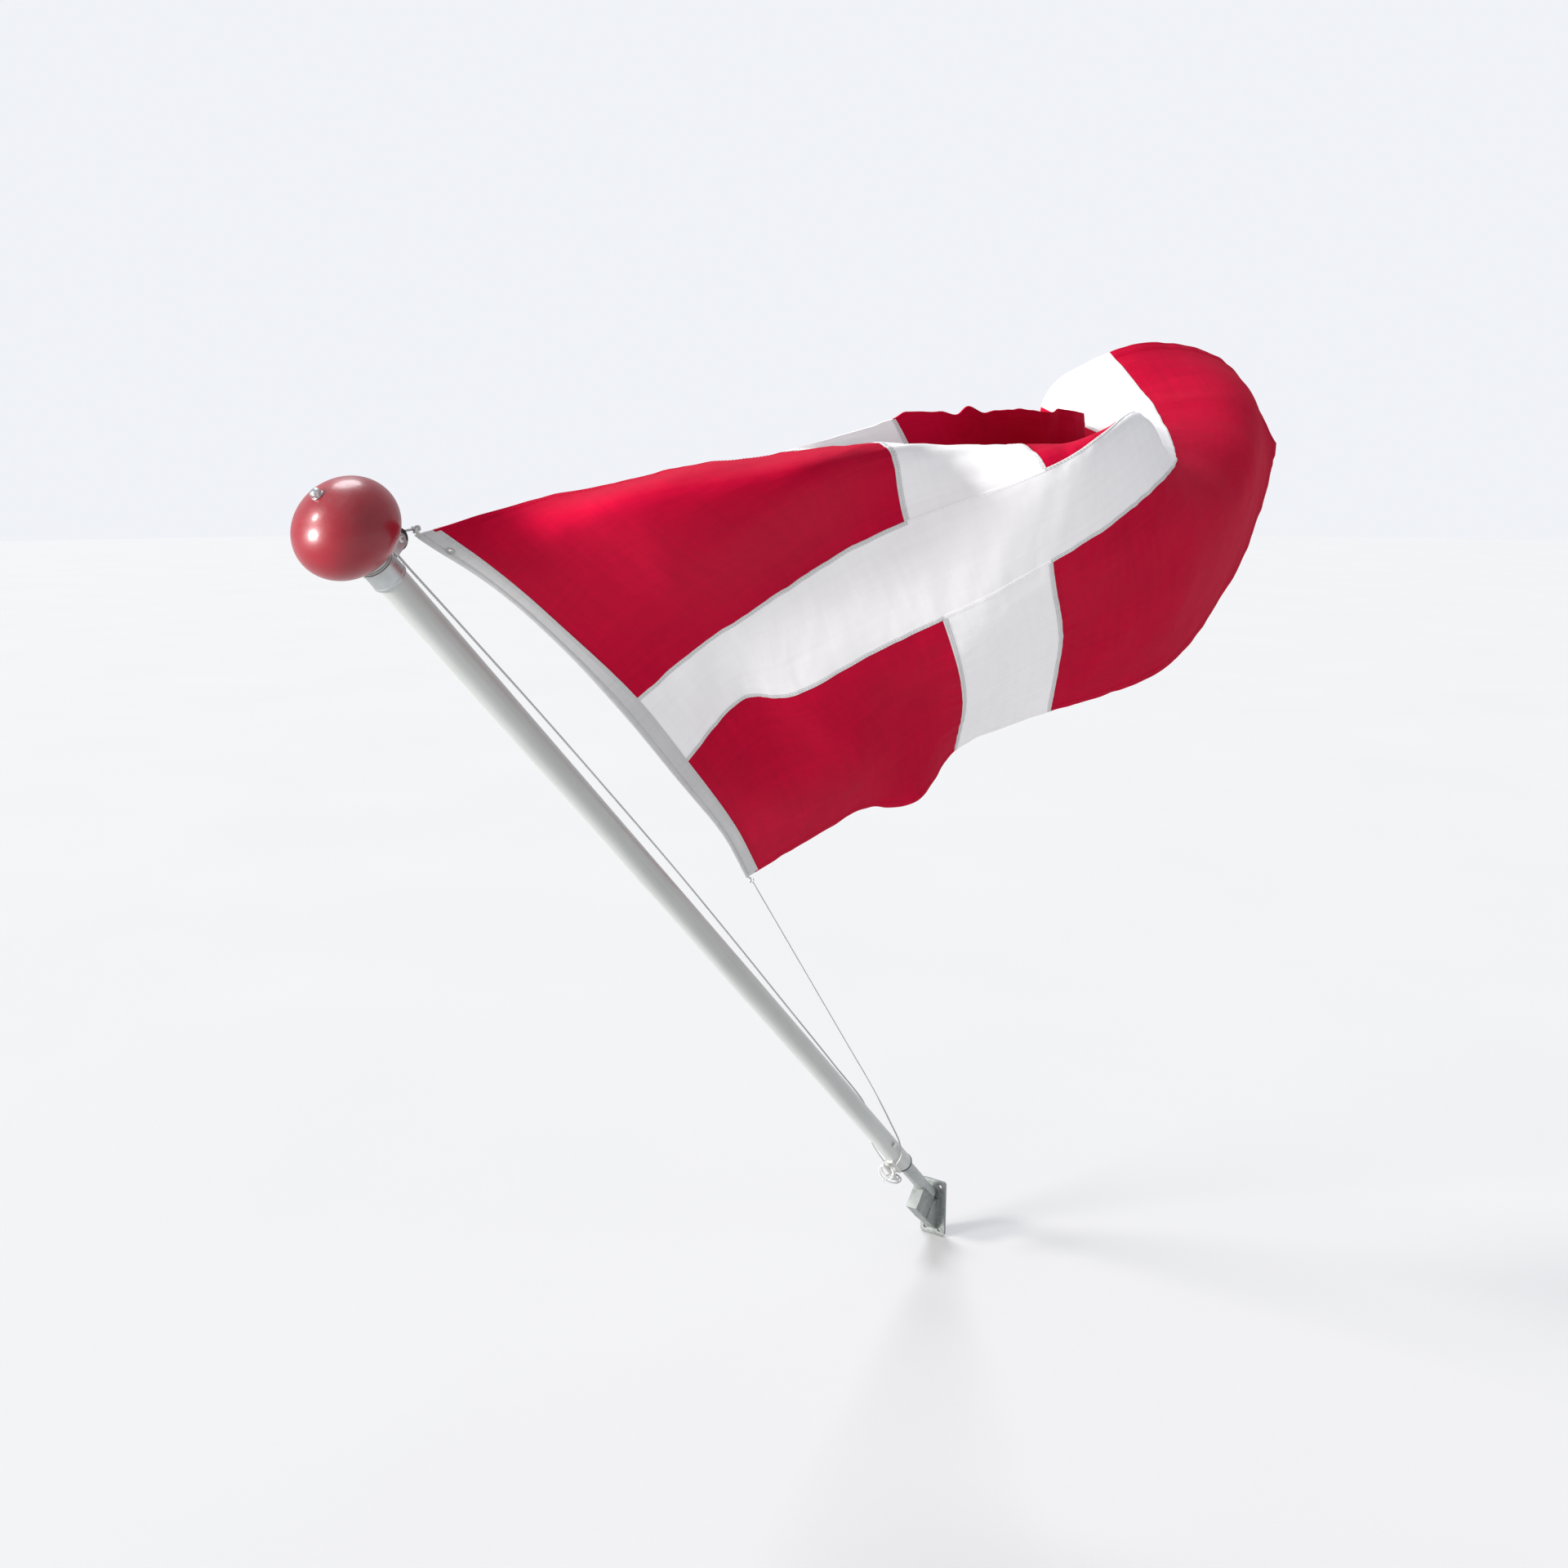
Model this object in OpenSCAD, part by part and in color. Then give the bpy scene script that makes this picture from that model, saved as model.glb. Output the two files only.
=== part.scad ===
// Bracket-mounted flagpole with a ball finial, a rope halyard and a two-colour flag in the wind.
// The back of the wall plate is centred on the origin, +Z is up and the pole leans out towards -Y.

/* [Pole] */
// Angle of the pole above the horizontal
pole_angle = 45; // [35:1:60]
// Distance from the round foot of the spigot to the middle of the ball
pole_len = 2455; // [2000:5:3000]
// Outside diameter of the pole tube
pole_d = 48; // [44:1:58]
// Wall thickness of the pole tube
pole_wall = 3; // [2:0.5:5]
// Diameter of the spigot that carries the pole
spigot_d = 34; // [28:1:36]
// Length of spigot left showing below the pole
spigot_show = 205; // [170:5:260]
// Length of spigot inside the pole
spigot_grip = 150; // [100:5:200]

/* [Ball] */
// Largest diameter of the ball
ball_d = 155; // [120:1:190]
// Height of the ball from seat side to crown, before its seat is cut flat
ball_h = 127; // [100:1:150]

/* [Wall bracket] */
// Width of the wall plate
plate_w = 70; // [60:1:90]
// Height of the wall plate
plate_h = 150; // [130:1:190]
// Thickness of the wall plate
plate_t = 8; // [6:1:12]
// Sideways distance between bolt holes
hole_x = 40; // [34:1:50]
// Upright distance between bolt holes
hole_z = 120; // [100:1:128]
// Diameter of the bolt holes
hole_d = 11; // [9:0.5:12]
// Width of the lug and of the gusset behind it
lug_w = 30; // [20:1:36]
// Length of the lug along the pole
lug_len = 75; // [60:1:90]
// Depth of the lug below the spigot
lug_h = 50; // [40:1:60]

/* [Flag and halyard] */
// Height of the flag along its header
flag_hoist = 1320; // [1100:10:1400]
// Modelled thickness of the cloth
cloth_t = 3; // [2:0.5:4]
// Diameter of the halyard
rope_d = 4; // [4:0.5:5]
// Height of the cleat above the spigot's round foot
cleat_z = 240; // [230:1:280]

/* [Hidden] */
$fn = 64;

// Clearance between parts that only rest against each other
fit_gap = 0.2;
lean = 90 - pole_angle;
pole_r = pole_d / 2;
bore_r = pole_r - pole_wall;
spigot_r = spigot_d / 2;
// Middle of the spigot's round foot, out from the wall and up from the plate's middle
foot_out = 30;
foot_up = plate_h / 3;
tube_start = spigot_show;

// Ball: the seat is cut flat where the ball is a little wider than the pole
ball_r = ball_d / 2;
ball_semi = ball_h / 2;
ball_seat = ball_semi * 0.945;
crown_cut = ball_semi * 0.992;
stem_r = 5;
cap_t = 8;
tube_end = pole_len - ball_seat - cap_t;

// Truck: a collar near the pole's end carries one sheave on the pole's upper side
collar_h = 34;
collar_wall = 3;
sheave_z = tube_end - 7;
sheave_out = pole_r + 26;
sheave_r = 16.5;
groove_r = 13;
sheave_t = 10;
cheek_t = 3;
pin_r = 3;
pin_play = 0.08;
rope_r = rope_d / 2;
wrap_r = groove_r + rope_r + 0.8;

// Cleat on the pole's underside
cleat_post_r = 5;
cleat_post_gap = 30;
cleat_reach = 21;
horn_r = 5;
horn_len = 110;

// Flag: the cut is 28 parts high and 37 parts long, with the cross arms at 12 to 16 parts
part_len = flag_hoist / 28;
drape_scale = flag_hoist / 1320;
seam_gap = 0.45 / part_len;
sleeve_w = 0.62;
sleeve_t = 7;
stations = [0, 3, 6, 9, 12, 16, 22, 28, 34, 37];
levels = [0, 4, 8, 12, 16, 22, 28];
// How the cloth blows: one line of points along each level, read from the header to the fly
drape = [
    // top hem
    [[30, 88, 5], [140, 160, -15], [220, 250, -70], [290, 350, -130], [360, 450, -200],
     [450, 610, -280], [550, 810, -450], [570, 960, -610], [390, 1070, -740], [270, 1110, -800]],
    // hollow behind the fold
    [[65, 105, -120], [210, 130, -50], [350, 170, -10], [440, 300, -80], [450, 500, -240],
     [470, 630, -510], [530, 800, -650], [560, 900, -830], [420, 980, -920], [310, 1030, -980]],
    // front of the fold
    [[80, 125, -285], [220, 160, -200], [370, 200, -140], [520, 300, -110], [550, 450, -200],
     [620, 610, -350], [670, 760, -610], [650, 870, -810], [480, 1000, -940], [370, 1060, -990]],
    // upper seam of the white band
    [[90, 140, -460], [210, 230, -410], [320, 310, -380], [430, 380, -350], [520, 450, -350],
     [720, 540, -330], [780, 730, -400], [710, 840, -570], [500, 1070, -740], [380, 1150, -760]],
    // lower seam of the white band
    [[80, 150, -650], [190, 250, -580], [280, 280, -590], [410, 370, -570], [520, 430, -550],
     [680, 530, -520], [800, 720, -530], [720, 950, -680], [580, 1170, -750], [490, 1260, -730]],
    // belly
    [[20, 190, -920], [160, 250, -860], [290, 320, -830], [350, 410, -820], [440, 480, -830],
     [600, 590, -790], [780, 740, -770], [800, 1050, -850], [710, 1330, -890], [630, 1430, -900]],
    // foot hem
    [[-70, 230, -1180], [60, 290, -1120], [170, 350, -1080], [280, 400, -1090], [330, 510, -1060],
     [500, 610, -1040], [680, 760, -1070], [740, 1030, -1090], [720, 1340, -1140], [700, 1450, -1160]]
];

// The flag's head hangs just outside and below the sheave, whatever the flag's size
flag_head = [30, sheave_out + 38, sheave_z - 20];
flag_origin = flag_head - drape_scale * drape[0][0];

// Direction and place helpers -------------------------------------------------------------

function unit(v) = v / norm(v);

// Draws its children with +Z along the pole, from the middle of the spigot's round foot
module along_pole() {
    translate([0, -foot_out, foot_up])
        rotate([lean, 0, 0])
            children();
}

// Index of the span of list s that holds value x
function span_of(s, x, i = 0) = i >= len(s) - 2 || x < s[i + 1] ? i : span_of(s, x, i + 1);

// Slope of a smooth curve through points p at stations s
function slope(p, s, i) =
    i == 0 ? (p[1] - p[0]) / (s[1] - s[0]) :
    i == len(s) - 1 ? (p[i] - p[i - 1]) / (s[i] - s[i - 1]) :
    ((p[i + 1] - p[i]) / (s[i + 1] - s[i]) * (s[i] - s[i - 1])
     + (p[i] - p[i - 1]) / (s[i] - s[i - 1]) * (s[i + 1] - s[i])) / (s[i + 1] - s[i - 1]);

function hermite(p, s, i, k, h) =
    (2 * k ^ 3 - 3 * k ^ 2 + 1) * p[i] + (k ^ 3 - 2 * k ^ 2 + k) * h * slope(p, s, i)
    + (3 * k ^ 2 - 2 * k ^ 3) * p[i + 1] + (k ^ 3 - k ^ 2) * h * slope(p, s, i + 1);

// Point at x on the smooth curve through p, carried on straight past its first point
function curve(p, s, x) =
    x < s[0] ? p[0] + (x - s[0]) * slope(p, s, 0) :
    let (i = span_of(s, x), h = s[i + 1] - s[i]) hermite(p, s, i, (x - s[i]) / h, h);

// Middle of the cloth at a parts along the fly and b parts down the hoist; the sleeve is at a < 0
function cloth(a, b) =
    a < 0 ? cloth(0, b) + a * part_len * unit(cloth(0.5, b) - cloth(0, b)) :
    flag_origin + drape_scale * curve([for (row = drape) curve(row, stations, a)], levels, b);

function cloth_normal(a, b) =
    unit(cross(cloth(a + 0.2, b) - cloth(a - 0.2, b), cloth(a, b + 0.2) - cloth(a, b - 0.2)));

// Shared shapes ---------------------------------------------------------------------------

// Upright plate outline with round corners
module round_plate(w, h, r) {
    square([w - 2 * r, h], center = true);
    square([w, h - 2 * r], center = true);
    for (x = [-1, 1], y = [-1, 1])
        translate([x * (w / 2 - r), y * (h / 2 - r)])
            circle(r);
}

// Closed slab of cloth between two stations and two levels
module cloth_slab(a0, a1, b0, b1, na, nb, t) {
    grid = [for (i = [0:na], j = [0:nb]) [a0 + (a1 - a0) * i / na, b0 + (b1 - b0) * j / nb]];
    mid = [for (g = grid) cloth(g[0], g[1])];
    nrm = [for (g = grid) cloth_normal(g[0], g[1])];
    n = (na + 1) * (nb + 1);
    front = [for (i = [0:na - 1], j = [0:nb - 1]) let (k = i * (nb + 1) + j)
        each [[k, k + nb + 2, k + 1], [k, k + nb + 1, k + nb + 2]]];
    edge = concat(
        [for (i = [0:na - 1]) [i * (nb + 1), (i + 1) * (nb + 1)]],
        [for (j = [0:nb - 1]) [na * (nb + 1) + j, na * (nb + 1) + j + 1]],
        [for (i = [0:na - 1]) [(na - i) * (nb + 1) + nb, (na - i - 1) * (nb + 1) + nb]],
        [for (j = [0:nb - 1]) [nb - j, nb - j - 1]]
    );
    polyhedron(
        points = concat([for (k = [0:n - 1]) mid[k] + nrm[k] * t / 2],
                        [for (k = [0:n - 1]) mid[k] - nrm[k] * t / 2]),
        faces = concat(front,
                       [for (f = front) [f[0] + n, f[2] + n, f[1] + n]],
                       [for (e = edge) each [[e[0], e[0] + n, e[1]], [e[1], e[0] + n, e[1] + n]]])
    );
}

// One panel of the flag, kept a seam's clearance from its neighbours
module panel(a0, a1, b0, b1) {
    along_pole()
        cloth_slab(a0 + seam_gap, a1 - seam_gap, b0 + seam_gap, b1 - seam_gap,
                   round(a1 - a0), round(b1 - b0), cloth_t);
}

// Rope of diameter d swept along a route of points
module rope(route, d, sides = 8) {
    m = len(route);
    t = [for (i = [0:m - 1]) unit(route[min(i + 1, m - 1)] - route[max(i - 1, 0)])];
    first = cross(t[0], abs(t[0][0]) < 0.9 ? [1, 0, 0] : [0, 1, 0]);
    nrm = [for (i = 0, v = unit(first); i < m; i = i + 1, v = i < m ? unit(v - (v * t[i]) * t[i]) : v) v];
    ring = [for (i = [0:m - 1], k = [0:sides - 1])
        route[i] + d / 2 * (cos(360 * k / sides) * nrm[i] + sin(360 * k / sides) * cross(t[i], nrm[i]))];
    skin = [for (i = [0:m - 2], k = [0:sides - 1])
        let (a = i * sides + k, b = i * sides + (k + 1) % sides)
        each [[a, b + sides, b], [a, a + sides, b + sides]]];
    polyhedron(
        points = ring,
        faces = concat(skin, [[for (k = [0:sides - 1]) k]],
                       [[for (k = [sides - 1:-1:0]) (m - 1) * sides + k]])
    );
}

// Wall bracket ----------------------------------------------------------------------------

module wall_plate() {
    color("#8d938f")
        rotate([90, 0, 0])
            difference() {
                linear_extrude(plate_t)
                    round_plate(plate_w, plate_h, 8);
                for (x = [-1, 1], y = [-1, 1])
                    translate([x * hole_x / 2, y * hole_z / 2, -1])
                        cylinder(h = plate_t + 2, r = hole_d / 2);
            }
}

// Outline in the upright plane through the pole: [out from the wall, up]
module support_gusset() {
    under = spigot_r + 1;
    deep = spigot_r + lug_h;
    back = 10;
    face = [for (u = [-under, -deep])
        [foot_out - (u * cos(lean) + back * sin(lean)), foot_up + u * sin(lean) - back * cos(lean)]];
    color("#8d938f")
        translate([-lug_w / 2, 0, 0])
            rotate([90, 0, 90])
                linear_extrude(lug_w)
                    polygon([
                        [-face[0][0], face[0][1]],
                        [-face[1][0], face[1][1]],
                        [-plate_t, foot_up - 110],
                        [-plate_t, foot_up - spigot_r - 6]
                    ]);
}

module pole_lug() {
    color("#8d938f")
        along_pole()
            difference() {
                translate([-lug_w / 2, -spigot_r - lug_h, -10])
                    cube([lug_w, lug_h + spigot_r * 0.4, lug_len]);
                translate([0, 0, -30])
                    cylinder(h = lug_len + 60, r = spigot_r + fit_gap);
            }
}

// Spigot --------------------------------------------------------------------------------

module spigot() {
    color("#a9aeab")
        along_pole()
            difference() {
                union() {
                    cylinder(h = spigot_show + spigot_grip, r = spigot_r);
                    sphere(spigot_r);
                }
                locking_hole();
            }
}

// Cross hole through the pole and the spigot
module locking_hole() {
    translate([-pole_r - 5, 0, spigot_show + spigot_grip - 30])
        rotate([0, 90, 0])
            cylinder(h = 2 * pole_r + 10, r = 4.2);
}

// Bush that fills the pole's bore at its foot and closes its end
module foot_bush() {
    color("#5c6165")
        along_pole()
            translate([0, 0, tube_start - 5])
                rotate_extrude()
                    polygon([
                        [spigot_r + fit_gap, 0], [pole_r + 1, 0], [pole_r + 1, 5 - fit_gap],
                        [bore_r - fit_gap, 5 - fit_gap], [bore_r - fit_gap, 65], [spigot_r + fit_gap, 65]
                    ]);
}

module locking_bolt() {
    color("#c9cccd")
        along_pole()
            translate([0, 0, spigot_show + spigot_grip - 30])
                rotate([0, 90, 0]) {
                    translate([0, 0, -pole_r - 9])
                        cylinder(h = 2 * pole_r + 9, r = 4);
                    translate([0, 0, pole_r])
                        cylinder(h = 5, r = 7, $fn = 6);
                }
}

module locking_nut() {
    color("#c9cccd")
        along_pole()
            translate([-pole_r - 6.5, 0, spigot_show + spigot_grip - 30])
                rotate([0, 90, 0])
                    difference() {
                        cylinder(h = 6, r = 7, $fn = 6);
                        translate([0, 0, -1])
                            cylinder(h = 8, r = 4.1);
                    }
}

// Pole ------------------------------------------------------------------------------------

module pole_tube() {
    color("#c4cac6")
        along_pole()
            difference() {
                translate([0, 0, tube_start])
                    cylinder(h = tube_end - tube_start, r = pole_r);
                translate([0, 0, tube_start - 1])
                    cylinder(h = tube_end - tube_start + 2, r = bore_r);
                locking_hole();
            }
}

// Truck -----------------------------------------------------------------------------------

module truck_cap() {
    color("#8c9190")
        along_pole()
            translate([0, 0, tube_end + fit_gap]) {
                cylinder(h = cap_t - 2 * fit_gap, r = pole_r);
                translate([0, 0, -30])
                    cylinder(h = 31, r = bore_r - fit_gap);
            }
}

module truck_collar() {
    color("#b9bebb")
        along_pole()
            translate([0, 0, tube_end - collar_h])
                difference() {
                    cylinder(h = collar_h - 2, r = pole_r + collar_wall);
                    translate([0, 0, -1])
                        cylinder(h = collar_h, r = pole_r + fit_gap);
                }
}

// Two ears that stand on the collar, one on each side of the sheave
module sheave_cheeks() {
    root = sqrt((pole_r + collar_wall) ^ 2 - (sheave_t / 2 + 1) ^ 2) + fit_gap;
    color("#b9bebb")
        along_pole()
            for (x = [-1, 1])
                translate([x * (sheave_t / 2 + 1 + cheek_t / 2) - cheek_t / 2, 0, sheave_z])
                    rotate([90, 0, 90])
                        linear_extrude(cheek_t)
                            difference() {
                                union() {
                                    translate([root, -12])
                                        square([sheave_out - root, 21]);
                                    translate([sheave_out, 0])
                                        circle(9);
                                    translate([sheave_out, -12])
                                        square([6, 12]);
                                }
                                translate([sheave_out, 0])
                                    circle(pin_r + pin_play);
                            }
}

module sheave() {
    color("#33383b")
        along_pole()
            translate([0, sheave_out, sheave_z])
                rotate([0, 90, 0])
                    rotate_extrude()
                        polygon([
                            [pin_r + pin_play, -sheave_t / 2], [sheave_r, -sheave_t / 2],
                            [sheave_r, -sheave_t / 2 + 1], [groove_r, -rope_r],
                            [groove_r, rope_r], [sheave_r, sheave_t / 2 - 1],
                            [sheave_r, sheave_t / 2], [pin_r + pin_play, sheave_t / 2]
                        ]);
}

module sheave_pin() {
    half = sheave_t / 2 + 1 + cheek_t;
    color("#c9cccd")
        along_pole()
            translate([0, sheave_out, sheave_z])
                rotate([0, 90, 0]) {
                    translate([0, 0, -half - 1.5])
                        cylinder(h = 2 * half + 1.5, r = pin_r);
                    translate([0, 0, half + 0.1])
                        cylinder(h = 2, r = pin_r + 2);
                    translate([0, 0, -half - 3.5])
                        cylinder(h = 2, r = pin_r + 2);
                }
}

// Ball ------------------------------------------------------------------------------------

module ball_finial() {
    low = asin(-ball_seat / ball_semi);
    high = asin(crown_cut / ball_semi);
    steps = 30;
    color("#b5132f")
        along_pole()
            translate([0, 0, pole_len])
                rotate_extrude($fn = 96)
                    polygon(concat(
                        [[stem_r + fit_gap, -ball_seat]],
                        [for (i = [0:steps]) let (a = low + (high - low) * i / steps)
                            [ball_r * cos(a), ball_semi * sin(a)]],
                        [[stem_r + fit_gap, crown_cut]]
                    ));
}

module ball_stem() {
    color("#c9cccd")
        along_pole()
            translate([0, 0, pole_len - ball_seat])
                cylinder(h = ball_seat + crown_cut + 7, r = stem_r);
}

module ball_washer() {
    color("#d5d7d8")
        along_pole()
            translate([0, 0, pole_len + crown_cut + 0.1])
                difference() {
                    cylinder(h = 1.5, r = 9);
                    translate([0, 0, -1])
                        cylinder(h = 4, r = stem_r + fit_gap);
                }
}

module ball_nut() {
    color("#d5d7d8")
        along_pole()
            translate([0, 0, pole_len + crown_cut + 1.7])
                difference() {
                    union() {
                        cylinder(h = 6, r = 8, $fn = 6);
                        translate([0, 0, 6])
                            cylinder(h = 3, r = 6.5);
                    }
                    translate([0, 0, -1])
                        cylinder(h = 7, r = stem_r + 0.1);
                }
}

// Cleat -----------------------------------------------------------------------------------

// Saddle pad whose back follows the pole
module cleat_base() {
    color("#e6e6e2")
        along_pole()
            difference() {
                translate([-10, -pole_r - 6, cleat_z - 32])
                    cube([20, 12, 64]);
                translate([0, 0, cleat_z - 50])
                    cylinder(h = 100, r = pole_r + fit_gap);
                for (k = [-1, 1])
                    translate([0, -pole_r + 6, cleat_z + k * 26])
                        rotate([90, 0, 0])
                            cylinder(h = 20, r = 2.2);
            }
}

module cleat_horns() {
    top = pole_r + cleat_reach;
    color("#e6e6e2")
        along_pole() {
            for (k = [-1, 1])
                translate([0, -pole_r - 6 - fit_gap, cleat_z + k * cleat_post_gap / 2])
                    rotate([90, 0, 0])
                        cylinder(h = cleat_reach - 6, r = cleat_post_r);
            translate([0, -top, cleat_z - horn_len / 2 + horn_r])
                cylinder(h = horn_len - 2 * horn_r, r = horn_r);
            for (k = [-1, 1])
                translate([0, -top, cleat_z + k * (horn_len / 2 - horn_r)])
                    sphere(horn_r);
        }
}

module cleat_screws() {
    color("#b4b8b9")
        along_pole()
            for (k = [-1, 1])
                translate([0, -pole_r - 6 - fit_gap, cleat_z + k * 26])
                    rotate([90, 0, 0]) {
                        cylinder(h = 2, r = 3.6);
                        translate([0, 0, -5])
                            cylinder(h = 6, r = 2);
                    }
}

// Halyard ---------------------------------------------------------------------------------

// From the cleat up the pole's upper side, over the sheave and down to the flag's head
hoist_low = [
    [-12, -31, 272], [-18, -24, 310], [-25, -14, 345], [-29, 0, 375], [-24, 18, 415], [-8, 29, 470],
    [0, 33, 700], [0, 38, 950], [0, 44, 1250], [0, 47, 1500], [0, 46, 1750], [0, 43, 2000], [0, 38, 2200]
];
head_knot_at = cloth(-sleeve_w / 2, 0) + [-4, -4, 11];
hoist_route = concat(
    hoist_low,
    [for (a = [180:-22.5:0])
        [0, sheave_out + wrap_r * cos(a), sheave_z + wrap_r * sin(a)]],
    [head_knot_at - 8 * unit(head_knot_at - [0, sheave_out + wrap_r, sheave_z])]
);

module halyard_hoist_line() {
    color("#dcdfe0")
        along_pole()
            rope(hoist_route, rope_d);
}

// From the flag's foot straight down to the pole and round its front to the cleat
foot_low = [
    [8, 66, 500], [18, 38, 380], [27, 12, 300], [28, -8, 275], [18, -27, 262]
];
foot_knot_at = cloth(-sleeve_w / 2, 28) + [-3, -4, -13];
foot_route = concat(
    [foot_knot_at + 8 * unit(foot_low[0] - foot_knot_at)],
    [for (k = [0.25, 0.5, 0.75]) foot_knot_at + k * (foot_low[0] - foot_knot_at)],
    foot_low
);

module halyard_foot_line() {
    color("#dcdfe0")
        along_pole()
            rope(foot_route, rope_d);
}

// Two figure-of-eight turns under the horns and across the bar
module halyard_turns() {
    step = rope_d + 0.5;
    over = pole_r + cleat_reach + horn_r + rope_r + 0.5;
    under = pole_r + cleat_reach - horn_r - rope_r - 1;
    route = [for (a = [20:20:700]) let (lap = a / 360) [
        (14 + step * lap) * sin(2 * a),
        -under - (over + 2 * step * lap - under) * cos(a) ^ 2,
        cleat_z + (24 + step * lap) * sin(a)
    ]];
    color("#dcdfe0")
        along_pole()
            rope(route, rope_d);
}

// Flag ------------------------------------------------------------------------------------

module head_knot() {
    color("#dcdfe0")
        along_pole()
            translate(head_knot_at)
                sphere(7.5, $fn = 24);
}

module foot_knot() {
    color("#dcdfe0")
        along_pole()
            translate(foot_knot_at)
                sphere(7.5, $fn = 24);
}

// Ends of the header's bolt rope between the sleeve and the knots
module header_rope_ends() {
    top = cloth(-sleeve_w / 2, 0);
    low = cloth(-sleeve_w / 2, 28);
    off_knot = 7.8;
    rope_end_d = 6;
    color("#dcdfe0")
        along_pole()
            // Each end: place on the sleeve, knot, gap off the sleeve's slanting end
            for (ends = [[top, head_knot_at, 2.5], [low, foot_knot_at, 3.2]]) {
                way = unit(ends[1] - ends[0]);
                rope([ends[0] + ends[2] * way, ends[1] - off_knot * way], rope_end_d);
            }
}

module header_sleeve() {
    color("#e9ebee")
        along_pole()
            cloth_slab(-sleeve_w, -seam_gap, 0, 28, 1, 28, sleeve_t);
}

// Round eyelet near the flag's head
module header_eyelet() {
    at = cloth(-sleeve_w / 2, 1.4);
    n = cloth_normal(-sleeve_w / 2, 1.4);
    color("#9a9d9c")
        along_pole()
            for (side = [-1, 1])
                translate(at + side * n * (sleeve_t / 2 + 1.3))
                    rotate([0, acos(n[2]), atan2(n[1], n[0])])
                        difference() {
                            cylinder(h = 1, r = 7, center = true);
                            cylinder(h = 3, r = 4, center = true);
                        }
}

module red_upper_hoist() {
    color("#b5102e")
        panel(0, 12, 0, 12);
}

module red_lower_hoist() {
    color("#b5102e")
        panel(0, 12, 16, 28);
}

module red_upper_fly() {
    color("#b5102e")
        panel(16, 37, 0, 12);
}

module red_lower_fly() {
    color("#b5102e")
        panel(16, 37, 16, 28);
}

module white_band_hoist() {
    color("#f2f3f6")
        panel(0, 12, 12, 16);
}

module white_band_fly() {
    color("#f2f3f6")
        panel(16, 37, 12, 16);
}

module white_bar_upper() {
    color("#f2f3f6")
        panel(12, 16, 0, 16);
}

module white_bar_lower() {
    color("#f2f3f6")
        panel(12, 16, 16, 28);
}

wall_plate();
support_gusset();
pole_lug();
spigot();
foot_bush();
pole_tube();
locking_bolt();
locking_nut();
truck_cap();
truck_collar();
sheave_cheeks();
sheave();
sheave_pin();
ball_finial();
ball_stem();
ball_washer();
ball_nut();
cleat_base();
cleat_horns();
cleat_screws();
halyard_hoist_line();
halyard_foot_line();
halyard_turns();
head_knot();
foot_knot();
header_rope_ends();
header_sleeve();
header_eyelet();
red_upper_hoist();
red_lower_hoist();
red_upper_fly();
red_lower_fly();
white_band_hoist();
white_band_fly();
white_bar_upper();
white_bar_lower();
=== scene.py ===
"""Looks of a bracket-mounted flagpole: ball finial, halyard, cleat and a sewn flag blowing in the wind."""

import logging
import math
from contextlib import contextmanager
from dataclasses import dataclass, field
from enum import Enum
from typing import Callable, Iterable, Iterator, Sequence

import bmesh
import bpy
import numpy as np
from mathutils import Matrix, Vector


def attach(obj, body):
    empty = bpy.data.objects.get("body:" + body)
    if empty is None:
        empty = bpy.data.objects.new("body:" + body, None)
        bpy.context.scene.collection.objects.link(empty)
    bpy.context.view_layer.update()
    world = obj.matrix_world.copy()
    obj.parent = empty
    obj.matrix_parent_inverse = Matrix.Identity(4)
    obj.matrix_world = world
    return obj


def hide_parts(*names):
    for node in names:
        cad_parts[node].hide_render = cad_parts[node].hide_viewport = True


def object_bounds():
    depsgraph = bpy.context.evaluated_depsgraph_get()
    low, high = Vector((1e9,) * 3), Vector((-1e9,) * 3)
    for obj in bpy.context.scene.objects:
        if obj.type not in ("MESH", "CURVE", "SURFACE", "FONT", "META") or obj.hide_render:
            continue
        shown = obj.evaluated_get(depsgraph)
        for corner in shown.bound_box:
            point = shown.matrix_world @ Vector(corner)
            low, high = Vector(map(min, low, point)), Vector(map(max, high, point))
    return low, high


log = logging.getLogger("flagpole")

MM = 0.001
TINY = 1e-6
BODY = "pole"
SHEAVE_BODY = "sheave_wheel"
UPRIGHT = (0, 0, 1)
SIDEWAYS = (1, 0, 0)
DOWN = (0, -1, 0)
Outline = Sequence[tuple[float, float]]
Box = tuple[float, float, float, float]
Sockets = bpy.types.bpy_prop_collection

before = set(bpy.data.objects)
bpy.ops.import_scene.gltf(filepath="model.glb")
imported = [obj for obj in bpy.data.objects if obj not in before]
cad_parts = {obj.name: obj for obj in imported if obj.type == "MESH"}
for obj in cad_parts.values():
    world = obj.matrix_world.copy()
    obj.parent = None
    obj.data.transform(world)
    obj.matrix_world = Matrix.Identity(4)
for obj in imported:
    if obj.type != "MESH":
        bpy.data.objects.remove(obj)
cad_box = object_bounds()


# ---------------------------------------------------------------- places and sizes


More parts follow.
